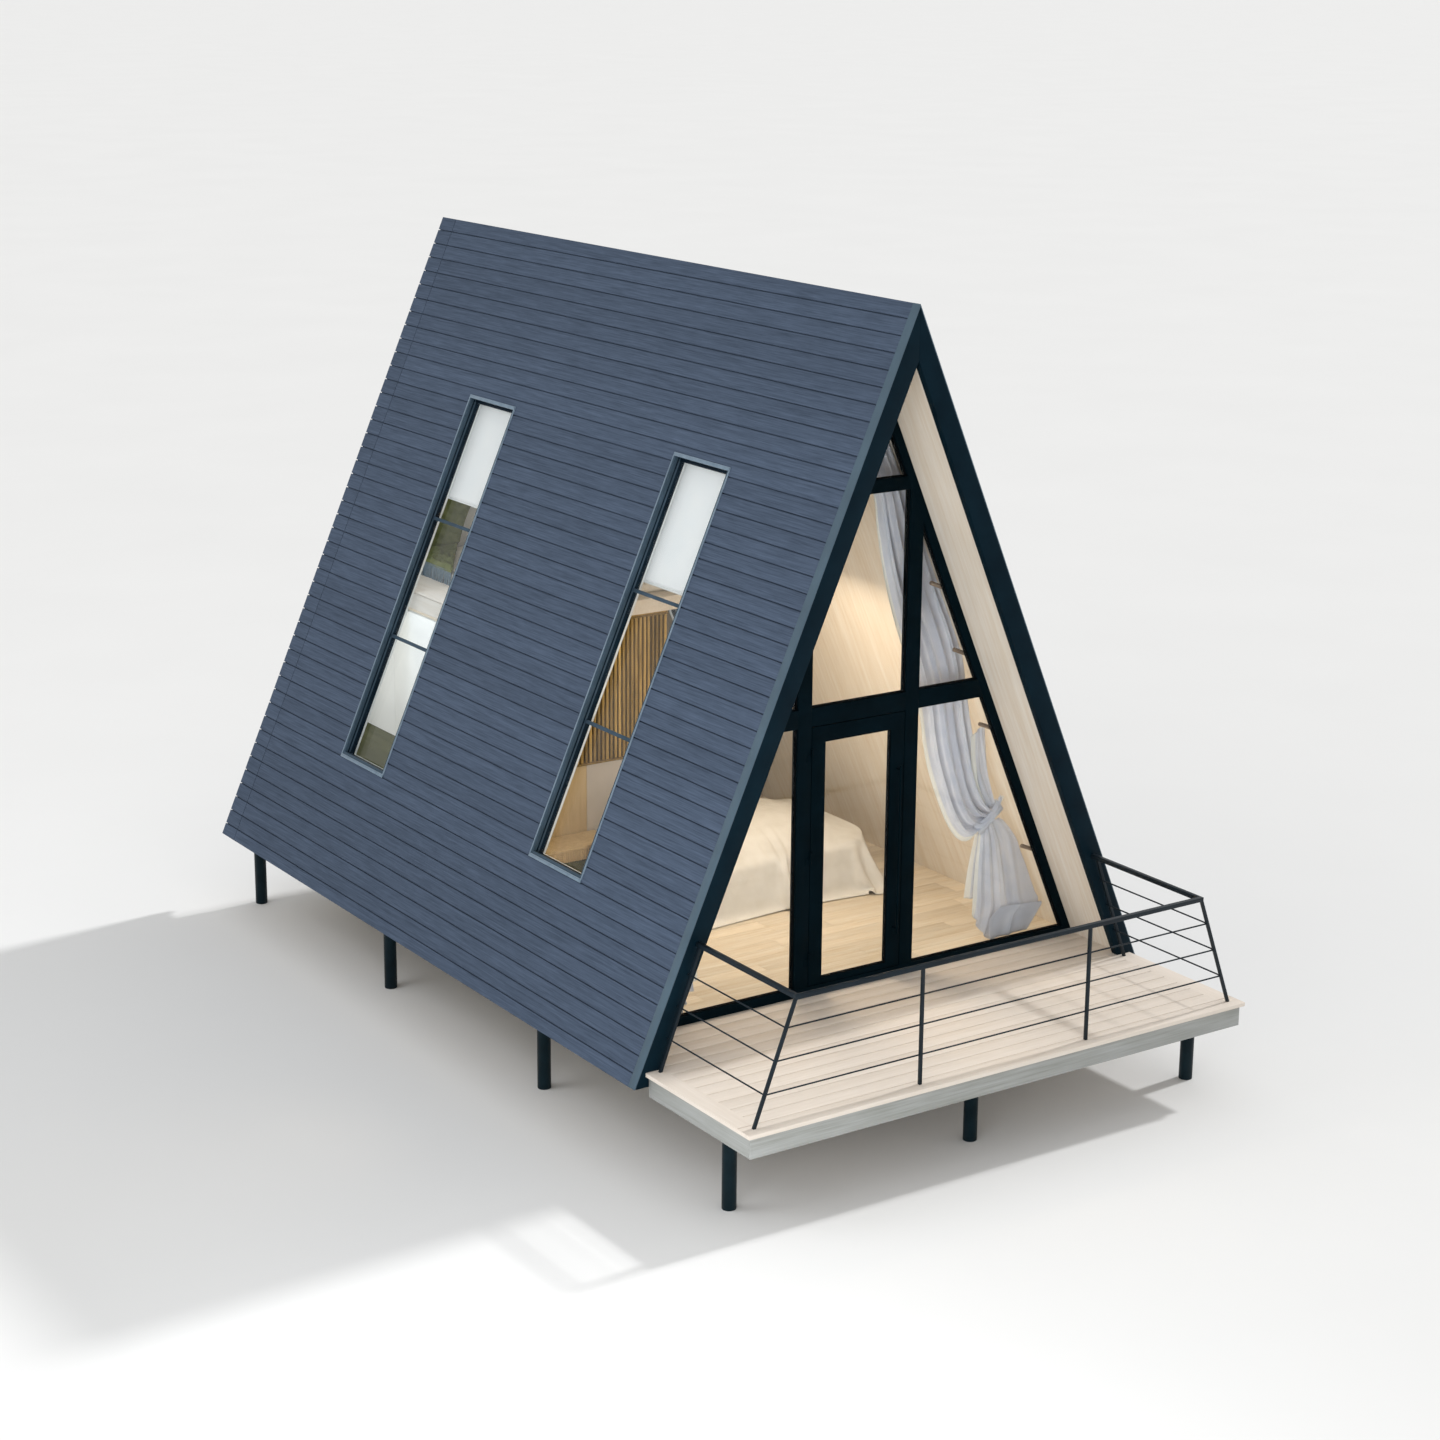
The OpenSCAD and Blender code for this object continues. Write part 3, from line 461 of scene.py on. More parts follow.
def cutAway(piece, cutters):  # cutters is a bmesh of closed shapes
    bmesh.ops.recalc_face_normals(cutters, faces=cutters.faces)
    tool = place("cutters", cutters)
    cut = piece.modifiers.new("cut", "BOOLEAN")
    cut.object = tool
    cut.solver = "EXACT"
    cut.use_self = True
    cut.operation = "DIFFERENCE"
    settle(piece)
    bpy.data.objects.remove(tool)


def addMesh(mesh, other):
    spare = bpy.data.meshes.new("spare")
    other.to_mesh(spare)
    other.free()
    mesh.from_mesh(spare)


def toSlope(mesh, side):  # from the slope's own axes to the frame's
    bmesh.ops.transform(mesh, matrix=slopeMatrix(side), verts=mesh.verts)


def addAcross(mesh, y, wide, start, end, low, high, easing=0.0):  # across a window, in the slope's axes
    addBlock(mesh, (y - wide / 2, start, low), (y + wide / 2, end, high), easing)


windows = {
    "wide": 0.785, "long": 3.376, "top": 1.512, "trimW": 0.030, "wallT": 0.015, "glassDepth": 0.078,
    "lipW": 0.007, "lipH": 0.012, "ledgeH": 0.004, "beadDeep": 0.025, "beadT": 0.012, "linerT": 0.019,
    "barW": 0.030, "barT": 0.030, "headLow": 0.030, "footLow": 0.024, "flashH": 0.012, "stepDeep": 0.017,
    "cassetteL": 0.024, "lift": 0.0002, "flashLift": 0.0004, "sealWider": 0.002, "linerWider": 0.001,
    "stepLess": 0.0003, "revealLess": 0.0005, "easing": 0.003,
}
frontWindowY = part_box("roof_window_frames_left")[0].y + windows["wide"] / 2
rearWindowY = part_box("roof_window_frame_right")[0].y + windows["wide"] / 2
windowPlaces = {-1: [frontWindowY, rearWindowY], 1: [rearWindowY]}

planks = {
    "pitch": 0.133, "first": 0.1265, "grooveW": 0.009, "grooveDeep": 0.017, "easing": 0.003,
    "verge": 0.090, "seamBack": 0.247, "seamW": 0.0075, "gap": 0.0004,
}


def layPlank(mesh, start, end, high, low, thickness):  # along local x, from high to low in y, under z = 0
    grooveTop, foot, grooveZ = low - planks["grooveW"], low - planks["gap"], -planks["grooveDeep"]
    section = [(high, -thickness), (high, 0), (grooveTop, 0), (grooveTop, grooveZ)]
    outline = [(start, y, z) for y, z in section + [(foot, grooveZ), (foot, -thickness)]]
    addPrism(mesh, outline, (end - start, 0, 0), planks["easing"], (1, 2), boardTone())


def roofPlanks(side, label):
    mesh = bmesh.new()
    seam = rearY - planks["seamBack"]
    high, low = 0.0, planks["first"]
    while high < slopeLength + plankDepth:
        layPlank(mesh, frontY + planks["verge"], seam - planks["seamW"], high, low, plankDepth)
        layPlank(mesh, seam, rearY, high, low, plankDepth)
        high, low = low, low + planks["pitch"]
    toSlope(mesh, side)
    clip(mesh, (0, 0, 0), (-side, 0, 0))
    clip(mesh, (0, 0, eavesZ), (0, 0, -1))
    piece = finish(mesh, "roofPlanks_" + label, roofWood, ("roof_cladding_" + label,))
    holes = bmesh.new()
    edge = windows["trimW"] - windows["wallT"]
    head, foot = windows["top"] + edge, windows["top"] + windows["long"] - edge
    for y in windowPlaces[side]:
        addAcross(holes, y, windows["wide"] - 2 * edge, head, foot, -0.1, 0.1)
    toSlope(holes, side)
    cutAway(piece, holes)


roofPlanks(-1, "left")
roofPlanks(1, "right")


def gablePlanks():
    low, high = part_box("rear_cladding")
    mesh = bmesh.new()
    top, bottom = 0.0, planks["pitch"]
    while top < high.z - low.z:
        layPlank(mesh, low.x, high.x, top, bottom, high.y - low.y)
        top, bottom = bottom, bottom + planks["pitch"]
    upright = Matrix(((1, 0, 0, 0), (0, 0, 1, high.y), (0, -1, 0, high.z), (0, 0, 0, 1)))
    bmesh.ops.transform(mesh, matrix=upright, verts=mesh.verts)
    clip(mesh, (0, 0, low.z), (0, 0, -1))
    for side in (-1, 1):
        clip(mesh, (side * high.x, 0, low.z), (side * math.cos(lean), 0, math.sin(lean)))
    finish(mesh, "rearGablePlanks", gableWood, ("rear_cladding",))


gablePlanks()
print("roof and gable planks laid")

deck = {
    "boardW": 0.152, "firstW": 0.158, "borderW": 0.150, "grooveW": 0.006, "grooveDeep": 0.009,
    "easing": 0.002, "fit": 0.0001, "past": 0.05,
}


def deckBoards():
    low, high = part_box("deck_boards")
    innerX = high.x - deck["borderW"]
    mesh = bmesh.new()
    near, far = low.y, low.y + deck["firstW"]
    while near < high.y - 1e-4:
        groove = far - deck["grooveW"] if far < high.y else far
        grooveZ = high.z - deck["grooveDeep"]
        section = [(near, low.z), (near, high.z), (groove, high.z)]
        if groove < far:
            section += [(groove, grooveZ), (far, grooveZ)]
        outline = [(-high.x, y, z) for y, z in section + [(far, low.z)]]
        addPrism(mesh, outline, (2 * high.x, 0, 0), deck["easing"], (1, 2), boardTone())
        near, far = far + deck["fit"], min(far + deck["boardW"], high.y)
    piece = finish(mesh, "deckBoards", deckWood, ("deck_boards",))
    cutters = bmesh.new()
    borders = bmesh.new()
    wide = high.x + 2 * deck["past"]
    below, above = low.z - deck["past"], high.z + deck["past"]
    firstY = low.y + deck["firstW"]
    under = (fasciaDepth, frontY, fasciaBackY + 0.001), (roofDepth, fasciaBackY, high.y + 2 * deck["past"])
    for side in (-1, 1):
        for depth, start, end in under:  # room for the gable-edge board and for the roof
            lowX, highX = slopeX(below, depth), slopeX(above, depth)
            section = [(lowX, below), (wide, below), (wide, above), (highX, above)]
            addPrism(cutters, [(side * x, start, z) for x, z in section], (0, end - start, 0))
        inner, outer = sorted((side * innerX, side * wide))
        addBlock(cutters, (inner, firstY, below), (outer, frontY + 0.001, above))
        start, inX = firstY + deck["fit"], innerX + deck["fit"]
        section = [(inX, low.z), (inX, high.z), (high.x, high.z), (high.x, low.z)]
        outline = [(side * x, start, z) for x, z in section]
        addPrism(borders, outline, (0, frontY - start, 0), deck["easing"], (2,), boardTone())
    cutAway(piece, cutters)
    finish(borders, "deckBorders", borderWood, ("deck_boards",))


deckBoards()

oakFloor = {"boardW": 0.140, "boardL": 1.9, "grooveW": 0.002, "easing": 0.0015}


def floorBoards():
    low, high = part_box("floor_panel")
    mesh = bmesh.new()
    y = low.y
    while y < high.y - 0.01:
        far = min(y + oakFloor["boardW"], high.y)
        x = low.x - draw.uniform(0, oakFloor["boardL"])
        while x < high.x:
            end = x + oakFloor["boardL"]
            addBlock(
                mesh, (x, y, low.z), (end - oakFloor["grooveW"], far - oakFloor["grooveW"] / 2, high.z),
                oakFloor["easing"], boardTone(),
            )
            x = end
        y = far
    for side in (-1, 1):
        clip(mesh, (side * slopeX(high.z, roofDepth), 0, high.z), (side * math.cos(lean), 0, math.sin(lean)))
    finish(mesh, "floorBoards", oak, ("floor_panel",))


floorBoards()
print("deck and floor laid")


def camel(name):
    first, *rest = name.split("_")
    return first + "".join(word.capitalize() for word in rest)


def cadMesh(nodeName):  # a CAD solid's mesh, each flat side one face
    mesh = bmesh.new()
    mesh.from_mesh(nodes[nodeName].data)
    bmesh.ops.remove_doubles(mesh, verts=mesh.verts, dist=1e-5)
    bmesh.ops.dissolve_limit(mesh, angle_limit=math.radians(1), verts=mesh.verts, edges=mesh.edges)
    return mesh


def softened(nodeName, easing, material, body="cabin"):  # a CAD solid, its arrises eased
    mesh = cadMesh(nodeName)
    sharp = math.radians(30)
    edges = [e for e in mesh.edges if len(e.link_faces) == 2 and e.calc_face_angle() > sharp]
    easeEdges(mesh, edges, easing)
    return finish(mesh, camel(nodeName), material, (nodeName,), body)


easedNodes = (  # easing in metres, finish, a slot name, nodes
    (0.003, navyCoat, "fascia_metal", "front_fascia_left front_fascia_right"),
    (0.003, navyCoat, "fascia_metal", "rear_fascia_left rear_fascia_right"),
    (0.0015, vergeCoat, "verge_metal", "verge_trim"), (0.003, skirtWood, "deck_boards", "deck_skirt_front"),
    (0.003, sideSkirtWood, "deck_boards", "deck_skirt_sides"), (0.004, pileCoat, "pile_steel", "piles"),
    (0.002, railCoat, "railing_steel", "railing_front railing_left railing_right"),
    (0.003, frameCoat, "glazing_frame", "gable_sill"),
    (0.002, frameCoat, "glazing_frame", "mullions transoms rake_frame_left rake_frame_right"),
    (0.004, loftPine, "loft_boards", "loft_floor"),
)
for easing, material, slotName, names in easedNodes:
    for nodeName in names.split():
        softened(nodeName, easing, material)
softened("door_leaf", 0.003, frameCoat, "door")
softened("door_handle", 0.002, frameCoat, "door")
print("edges eased")


def insetRing(mesh, faces, width):  # each face becomes a ring just inside its edges
    ring = bmesh.ops.inset_individual(mesh, faces=faces, thickness=width, use_even_offset=True)["faces"]
    bmesh.ops.delete(mesh, geom=faces, context="FACES")
    return ring


def addRing(mesh, y, inset, width, low, high, easing=0.0):  # a rectangular frame in the slope's own axes
    half = windows["wide"] / 2 - inset
    top = windows["top"] + inset
    bottom = windows["top"] + windows["long"] - inset
    outline = [(y - half, top), (y + half, top), (y + half, bottom), (y - half, bottom)]
    inner = mesh.faces.new([mesh.verts.new((*point, low)) for point in outline])
    inner.normal_update()
    upper = extrude(mesh, insetRing(mesh, [inner], width), (0, 0, high - low))
    if easing:
        around = {e for v in upper for e in v.link_edges if e.other_vert(v) in upper}
        edges = [e for e in around if len(e.link_faces) == 2 and e.calc_face_angle() > 0.5]
        easeEdges(mesh, edges, easing)
    markTone(mesh, 0.5)


def windowFrames(side, label, node):
    lips, bodies, seals, liners, flashings = [bmesh.new() for number in range(5)]
    w = windows
    wall = w["trimW"] - w["wallT"]
    beadZ = -w["beadDeep"]
    stepZ = beadZ - w["beadT"]
    revealZ = stepZ - w["stepDeep"]
    linerZ = -roofDepth + w["linerT"]
    glassZ, barZ = -w["glassDepth"], -w["glassDepth"] + w["barT"]
    foot = w["top"] + w["long"]
    head = w["top"] + w["trimW"]
    paneW, paneL = w["wide"] - 2 * w["trimW"], w["long"] - 2 * w["trimW"]
    for y in windowPlaces[side]:
        addRing(lips, y, 0, w["lipW"], w["lift"], w["lipH"], w["easing"])
        addRing(bodies, y, w["lipW"], w["trimW"] - w["lipW"], w["lift"], w["ledgeH"], 0.001)
        addRing(bodies, y, wall, w["wallT"], beadZ, w["lift"])
        addRing(seals, y, wall, w["wallT"] + w["sealWider"], stepZ, beadZ)
        addRing(bodies, y, wall, w["wallT"] - w["stepLess"], revealZ, stepZ)
        addRing(seals, y, wall, w["wallT"] - w["revealLess"], linerZ, revealZ)
        addRing(liners, y, wall, w["wallT"] + w["linerWider"], -roofDepth, linerZ)
        for start, long in ((w["top"], w["headLow"]), (foot, w["footLow"])):  # flashing at head and foot
            wide = w["wide"] + 0.002
            addAcross(flashings, y, wide, start, start + long, w["flashLift"], w["flashH"], 0.004)
        addAcross(seals, y, paneW, head - 0.001, head + w["cassetteL"], glassZ, barZ, w["easing"])
        for share in (-1 / 6, 1 / 6):
            middle = w["top"] + w["long"] / 2 + share * paneL
            addAcross(
                bodies, y, paneW, middle - w["barW"] / 2, middle + w["barW"] / 2, glassZ, barZ, w["easing"],
            )
    for mesh, name, material, slotName in (
        (lips, "Lips_", lipMetal, "window_frame"), (bodies, "Frames_", windowCoat, "window_frame"),
        (seals, "Seals_", sealCoat, "window_frame"), (liners, "Liners_", whitePaint, "white_paint"),
        (flashings, "Flashings_", flashMetal, "window_frame"),
    ):
        toSlope(mesh, side)
        finish(mesh, "window" + name + label, material, (node,))


windowFrames(-1, "left", "roof_window_frames_left")
windowFrames(1, "right", "roof_window_frame_right")

gaskets = {"width": 0.008, "proud": 0.003}


def gasketRings(nodeName, name, body):  # round each pane, on both of its sides
    mesh = cadMesh(nodeName)
    flat = [f for f in mesh.faces if abs(f.normal.y) > 0.9]
    bmesh.ops.delete(mesh, geom=[f for f in mesh.faces if abs(f.normal.y) <= 0.9], context="FACES")
    ring = insetRing(mesh, flat, gaskets["width"])
    for facing in (-1, 1):
        faces = [f for f in ring if f.is_valid and f.normal.y * facing > 0.9]
        extrude(mesh, faces, (0, facing * gaskets["proud"], 0))
    finish(mesh, name, rubber, (), body)


gasketRings("gable_glass", "gableGaskets", "cabin")
gasketRings("door_glass", "doorGaskets", "door")
print("glazing dressed")


def addRound(mesh, low, high, diameter, sides=24):  # a round bar between two points
    low, high = Vector(low), Vector(high)
    along = high - low
    turned = Matrix.Translation((low + high) / 2) @ along.to_track_quat("Z", "Y").to_matrix().to_4x4()
    bmesh.ops.create_cone(
        mesh, cap_ends=True, segments=sides, radius1=diameter / 2, radius2=diameter / 2,
        depth=along.length, matrix=turned,
    )
    markTone(mesh, 0.5)


def clothUv(mesh, width, length, start=0.0):  # a grid's UVs in metres of the flat cut
    layer = mesh.loops.layers.uv.active or mesh.loops.layers.uv.new("cut")
    for face in mesh.faces:
        for loop in face.loops:
            loop[layer].uv = (start + loop.vert.co.x * width, loop.vert.co.y * length)


def unitGrid(columns, rows):  # x and y from 0 to 1
    mesh = bmesh.new()
    bmesh.ops.create_grid(mesh, x_segments=columns, y_segments=rows, size=0.5)
    bmesh.ops.translate(mesh, verts=mesh.verts, vec=(0.5, 0.5, 0))
    return mesh


def thicken(piece, thickness, levels=0):
    skin = piece.modifiers.new("skin", "SOLIDIFY")
    skin.thickness = thickness
    skin.offset = 0
    if levels:
        smooth = piece.modifiers.new("smooth", "SUBSURF")
        smooth.levels = levels
        smooth.render_levels = levels
    settle(piece)


blinds = {
    "wide": 0.755, "depth": 0.1183, "clothT": 0.0012, "rollerD": 0.040, "bracketT": 0.008, "barW": 0.018,
    "barT": 0.009, "wave": 0.0015, "frontDrop": 1.018, "rearDrop": 0.898, "easing": 0.002,
}


def rollerBlind(hardware, side, y, drop, name):
    b = blinds
    top = windows["top"] + windows["trimW"] - windows["wallT"]
    mesh = unitGrid(24, 40)
    clothUv(mesh, b["wide"], drop)
    for corner in mesh.verts:
        across, down = corner.co.x, corner.co.y
        wave = b["wave"] * down ** 2 * noise.noise((across * 4, down * 2, y))
        corner.co = (y + (across - 0.5) * b["wide"], top + down * drop, -b["depth"] + wave)
    toSlope(mesh, side)
    cloth = finish(mesh, name, blindCloth, ("roller_blinds",))
    thicken(cloth, b["clothT"])
    bars = bmesh.new()
    half, radius = b["wide"] / 2, b["rollerD"] / 2
    rollerZ = b["clothT"] - radius - b["depth"]
    addRound(bars, (y - half, top, rollerZ), (y + half, top, rollerZ), b["rollerD"] - 0.002)
    for end in (-1, 1):
        low, high = sorted((y + end * half, y + end * (half + b["bracketT"])))
        near, far = (low, top - radius, rollerZ - radius), (high, top + radius, -roofDepth - 0.001)
        addBlock(bars, near, far, b["easing"])
    bottom = top + drop
    barLow, barHigh = -b["depth"] - b["barT"] / 2, -b["depth"] + 0.002
    addAcross(bars, y, b["wide"], bottom, bottom + b["barW"], barLow, barHigh, b["easing"])
    toSlope(bars, side)
    addMesh(hardware, bars)


hardware = bmesh.new()
rollerBlind(hardware, -1, frontWindowY, blinds["frontDrop"], "frontBlind")
rollerBlind(hardware, -1, rearWindowY, blinds["rearDrop"], "rearBlindLeft")
rollerBlind(hardware, 1, rearWindowY, blinds["rearDrop"], "rearBlindRight")
finish(hardware, "blindRollers", whitePaint, ("roller_blinds",))

partition = {
    "panelTop": 0.92, "railT": 0.014, "slatTop": 2.19, "slatW": 0.026, "slatT": 0.022, "slats": 66,
    "backT": 0.014, "panelEdgeX": -0.225, "panelIn": 0.012, "easing": 0.003,
}


def slattedPartition():
    low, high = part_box("slatted_partition")
    p = partition
    slats, tans, panels, backs = [bmesh.new() for number in range(4)]
    faceY, panelY = high.y - p["backT"], low.y + p["panelIn"]
    lowRail, highRail = deckZ + p["panelTop"], deckZ + p["slatTop"]
    addBlock(backs, (low.x, faceY, low.z), high)
    for z in (lowRail, highRail):
        addBlock(slats, (low.x, low.y, z), (high.x, faceY, z + p["railT"]), p["easing"], boardTone())
    pitch = (high.x - low.x - p["slatW"]) / p["slats"]
    for number in range(p["slats"] + 1):
        x = low.x + number * pitch
        foot, head = (x, faceY - p["slatT"], lowRail + p["railT"]), (x + p["slatW"], faceY, highRail)
        addBlock(slats, foot, head, p["easing"], boardTone())
    for start, end, mesh in ((low.x, p["panelEdgeX"], tans), (p["panelEdgeX"], high.x, panels)):
        addBlock(mesh, (start + 0.002, panelY, low.z), (end, faceY, lowRail), p["easing"], 0.4)
    addBlock(slats, (low.x, panelY, highRail + p["railT"]), (high.x, faceY, high.z), p["easing"], 0.7)
    for mesh, name, material, slotName in (
        (slats, "Slats", slatPine, "slat_wood"), (tans, "TanPanel", tanPanel, "slat_wood"),
        (panels, "Panels", greyPanel, "white_paint"), (backs, "Back", slatGround, "slat_wood"),
    ):
        clip(mesh, (-slopeX(low.z, roofDepth + 0.0003), 0, low.z), (-math.cos(lean), 0, math.sin(lean)))
        finish(mesh, "partition" + name, material, ("slatted_partition",))


slattedPartition()

bench = {  # from the roof lining to beside the bed, low under the front roof window
    "left": -2.06, "right": -0.16, "frontY": 1.006, "footH": 0.195, "high": 0.315, "capT": 0.026,
    "staveW": 0.024, "staveT": 0.012, "staveGap": 0.001, "staveEasing": 0.002, "nosing": 0.004,
    "easing": 0.003,
}


def windowBench():
    b = bench
    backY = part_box("slatted_partition")[0].y
    underCap = deckZ + b["high"] - b["capT"]
    core, wood = bmesh.new(), bmesh.new()
    staveBackY = b["frontY"] + b["staveT"]
    addBlock(core, (b["left"], staveBackY, deckZ), (b["right"], backY, underCap), b["easing"])
    for number in range(int((b["right"] - b["left"]) / b["staveW"])):
        x = b["left"] + number * b["staveW"]
        low = (x + b["staveGap"], b["frontY"], deckZ + b["footH"])
        high = (x + b["staveW"] - b["staveGap"], staveBackY, underCap)
        addBlock(wood, low, high, b["staveEasing"], boardTone())
    low, high = (b["left"], b["frontY"] - b["nosing"], underCap), (b["right"], backY, deckZ + b["high"])
    addBlock(wood, low, high, b["easing"], 0.7)
    # the core shows dark olive below the staves: painted shade under the bench front
    finish(core, "benchCore", oliveBoard)
    finish(wood, "benchWood", tanPanel)


windowBench()

wardrobe = {
    "doors": 2, "doorT": 0.019, "gap": 0.003, "fit": 0.0002, "plinth": 0.080, "easing": 0.002,
    "whiteFrom": 0.957, "lineT": 0.012, "lineH": 0.022, "lineProud": 0.001,
}


def wardrobeDoors():
    low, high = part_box("wardrobe")
    w = wardrobe
    split, doorW = low.z + w["whiteFrom"], (high.y - low.y) / w["doors"]
    for name, material, foot, head, doorFoot, doorHead in (
        ("wardrobeWhite", whitePaint, split, high.z, split + w["gap"], high.z - w["gap"]),
        # below the white the wardrobe is dark olive: painted shade on its lower part
        ("wardrobeBase", oliveBoard, low.z, split - w["fit"], low.z + w["plinth"], split - w["gap"]),
    ):
        mesh = bmesh.new()
        addBlock(mesh, (low.x + w["doorT"], low.y, foot), (high.x, high.y, head), w["easing"])
        for number in range(w["doors"]):
            near, far = low.y + number * doorW + w["gap"] / 2, low.y + (number + 1) * doorW - w["gap"] / 2
            doorBack = low.x + w["doorT"] - w["fit"]
            addBlock(mesh, (low.x, near, doorFoot), (doorBack, far, doorHead), w["easing"])
        finish(mesh, name, material, ("wardrobe",))
    loftLow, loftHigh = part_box("loft_floor")
    x, z, half = loftLow.x - w["lineProud"], loftLow.z, w["lineH"] / 2
    line = bmesh.new()
    addBlock(line, (x, low.y, z - half), (x + w["lineT"], loftHigh.y, z + half), w["easing"])
    finish(line, "loftTrim", oak)


wardrobeDoors()
print("blinds, partition and wardrobe made")


def plumpBlock(low, high, easing, crown, cells):  # a rounded foam block with a soft crown
    mesh = bmesh.new()
    addBlock(mesh, low, high)
    bmesh.ops.subdivide_edges(mesh, edges=mesh.edges[:], cuts=cells, use_grid_fill=True)
    centre = (low + high) / 2
    half = (high - low) / 2
    for corner in mesh.verts:
        share = [(corner.co[axis] - centre[axis]) / half[axis] for axis in range(3)]
        flat = (1 - abs(share[0]) ** 3) * (1 - abs(share[1]) ** 3)
        if share[2] > 0:
            corner.co.z -= crown * share[2] * (1 - flat)
        spot = corner.co - centre
        inner = Vector([max(easing - reach, min(reach - easing, at)) for reach, at in zip(half, spot)])
        out = spot - inner
        if out.length > easing:
            corner.co = centre + inner + out.normalized() * easing
    markTone(mesh, 0.5)
    return mesh


def mattressPiece(nodeName, name, crown, headX=None):
    low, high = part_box(nodeName)
    if headX is not None:
        low.x = headX
    mesh = plumpBlock(low, high, 0.06, crown, 23)
    piece = finish(mesh, name, whiteCloth, (nodeName,), "cabin", 60)
    return piece


bed = {"headX": -0.44, "crown": 0.012, "inset": 0.035, "easing": 0.006}  # headX: where its head end lies
mattress = mattressPiece("mattress", "bedMattress", bed["crown"], bed["headX"])
mattressPiece("loft_mattress", "loftMattress", bed["crown"])


def bedBase():  # low base set back under the mattress
    low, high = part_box("bed_base")
    low.x = bed["headX"]
    inset = Vector((bed["inset"], bed["inset"], 0))
    mesh = bmesh.new()
    addBlock(mesh, low + inset, high - inset, bed["easing"])
    finish(mesh, "bedBase", pine, ("bed_base",))


bedBase()


def fineCube(cuts):  # from -1 to 1 on each axis
    mesh = bmesh.new()
    bmesh.ops.create_cube(mesh, size=2)
    bmesh.ops.subdivide_edges(mesh, edges=mesh.edges[:], cuts=cuts, use_grid_fill=True)
    return mesh


def simulate(piece, frames, weight, settings):  # as cloth, weight is gravity's share
    cloth = piece.modifiers.new("cloth", "CLOTH")
    for key, value in settings.items():
        setattr(cloth.settings, key, value)
    cloth.settings.effector_weights.gravity = weight
    cloth.collision_settings.distance_min = 0.006
    cloth.point_cache.frame_end = frames
    for number in range(1, frames + 1):
        bpy.context.scene.frame_set(number)
    settle(piece)


pillows = {  # slack: the share of its size that a pillow starts from; rim: its edge's share of the thickness
    "wide": 0.42, "long": 0.62, "thick": 0.13, "voxel": 0.012, "pressure": 4.0, "frames": 20,
    "cap": 0.030, "lift": 0.018, "slack": 0.94, "rim": 0.12, "pulled": 0.05, "tension": 12, "bending": 0.4,
}


def pillow(name, centre):
    p = pillows
    half = Vector((p["wide"], p["long"], p["thick"])) / 2 * p["slack"]
    mesh = fineCube(15)
    for corner in mesh.verts:
        x, y, z = corner.co
        taper = max(0.0, 1 - abs(x) ** 4) ** 0.5 * max(0.0, 1 - abs(y) ** 4) ** 0.5
        pull = 1 - p["pulled"] * (x * x + y * y - x * x * y * y)
        corner.co = (x * half.x * pull, y * half.y * pull, z * half.z * (p["rim"] + (1 - p["rim"]) * taper))
    bmesh.ops.translate(mesh, verts=mesh.verts, vec=centre)
    piece = finish(mesh, name, whiteCloth, ("pillows",), "cabin", 70)
    even = piece.modifiers.new("even", "REMESH")
    even.mode = "VOXEL"
    even.voxel_size = p["voxel"]
    even.use_smooth_shade = True
    settle(piece)
    before = [corner.co.copy() for corner in piece.data.vertices]
    simulate(piece, p["frames"], 0.0, {
        "use_pressure": True, "uniform_pressure_force": p["pressure"], "tension_stiffness": p["tension"],
        "bending_stiffness": p["bending"],
    })
    for corner, start in zip(piece.data.vertices, before):
        moved = corner.co - start
        if moved.length > p["cap"]:
            corner.co = start + moved.normalized() * p["cap"]


pillowLow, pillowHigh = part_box("pillows")
pillowX = bed["headX"] + pillows["wide"] / 2 + 0.01
pillowZ = pillowLow.z + pillows["thick"] / 2 + pillows["lift"]
pillow("frontPillow", (pillowX, pillowLow.y + pillows["long"] / 2, pillowZ))
pillow("rearPillow", (pillowX, pillowHigh.y - pillows["long"] / 2, pillowZ))
bpy.context.scene.frame_set(1)
print("mattresses and pillows made")

spread = {  # off and flare: how far the hanging side stands off the mattress, and how much more at the floor
    "clothT": 0.010, "cell": 0.030, "frames": 55, "drop": 0.52, "headX": -0.43, "mass": 0.5, "damping": 2.0,
    "bending": 6.0, "tension": 20.0, "friction": 12.0, "liftedBy": 0.02, "foot": 0.10, "flare": 0.09,
    "round": 0.28, "edgeDown": 0.06, "dome": 2.7, "off": 0.010, "cutRound": 0.62, "over": 0.004,
    "headL": 0.8, "sag": 0.004,
}


def bedForm(low, high, top):  # what the cloth falls on: a domed block, round in plan, wider towards the floor
    s = spread
    centre = (low + high) / 2
    half = (high - low) / 2
    edgeZ = high.z - s["edgeDown"]
    body = fineCube(31)
    for corner in body.verts:
        x, y, z = corner.co
        rise = (1 - abs(x) ** s["dome"]) * (1 - abs(y) ** s["dome"])
        head = min(1.0, (x + 1) * half.x / s["headL"])
        crown = max((top - edgeZ) * rise * head, (s["edgeDown"] + s["over"]) * (1 - y ** 6))
        out = s["off"] + s["flare"] * (1 - z) / 2
        reach = (half.x + out, half.y + out)
        spot = Vector((x * reach[0], y * reach[1]))
        inner = Vector([max(s["round"] - r, min(r - s["round"], c)) for r, c in zip(reach, spot)])
        if (spot - inner).length > s["round"]:
            spot = inner + (spot - inner).normalized() * s["round"]
        corner.co = (
            centre.x + spot.x, centre.y + spot.y,
            edgeZ + crown if z > 0.999 else deckZ + (z + 1) / 2 * (edgeZ - deckZ),
        )
    return place("bedForm", body)


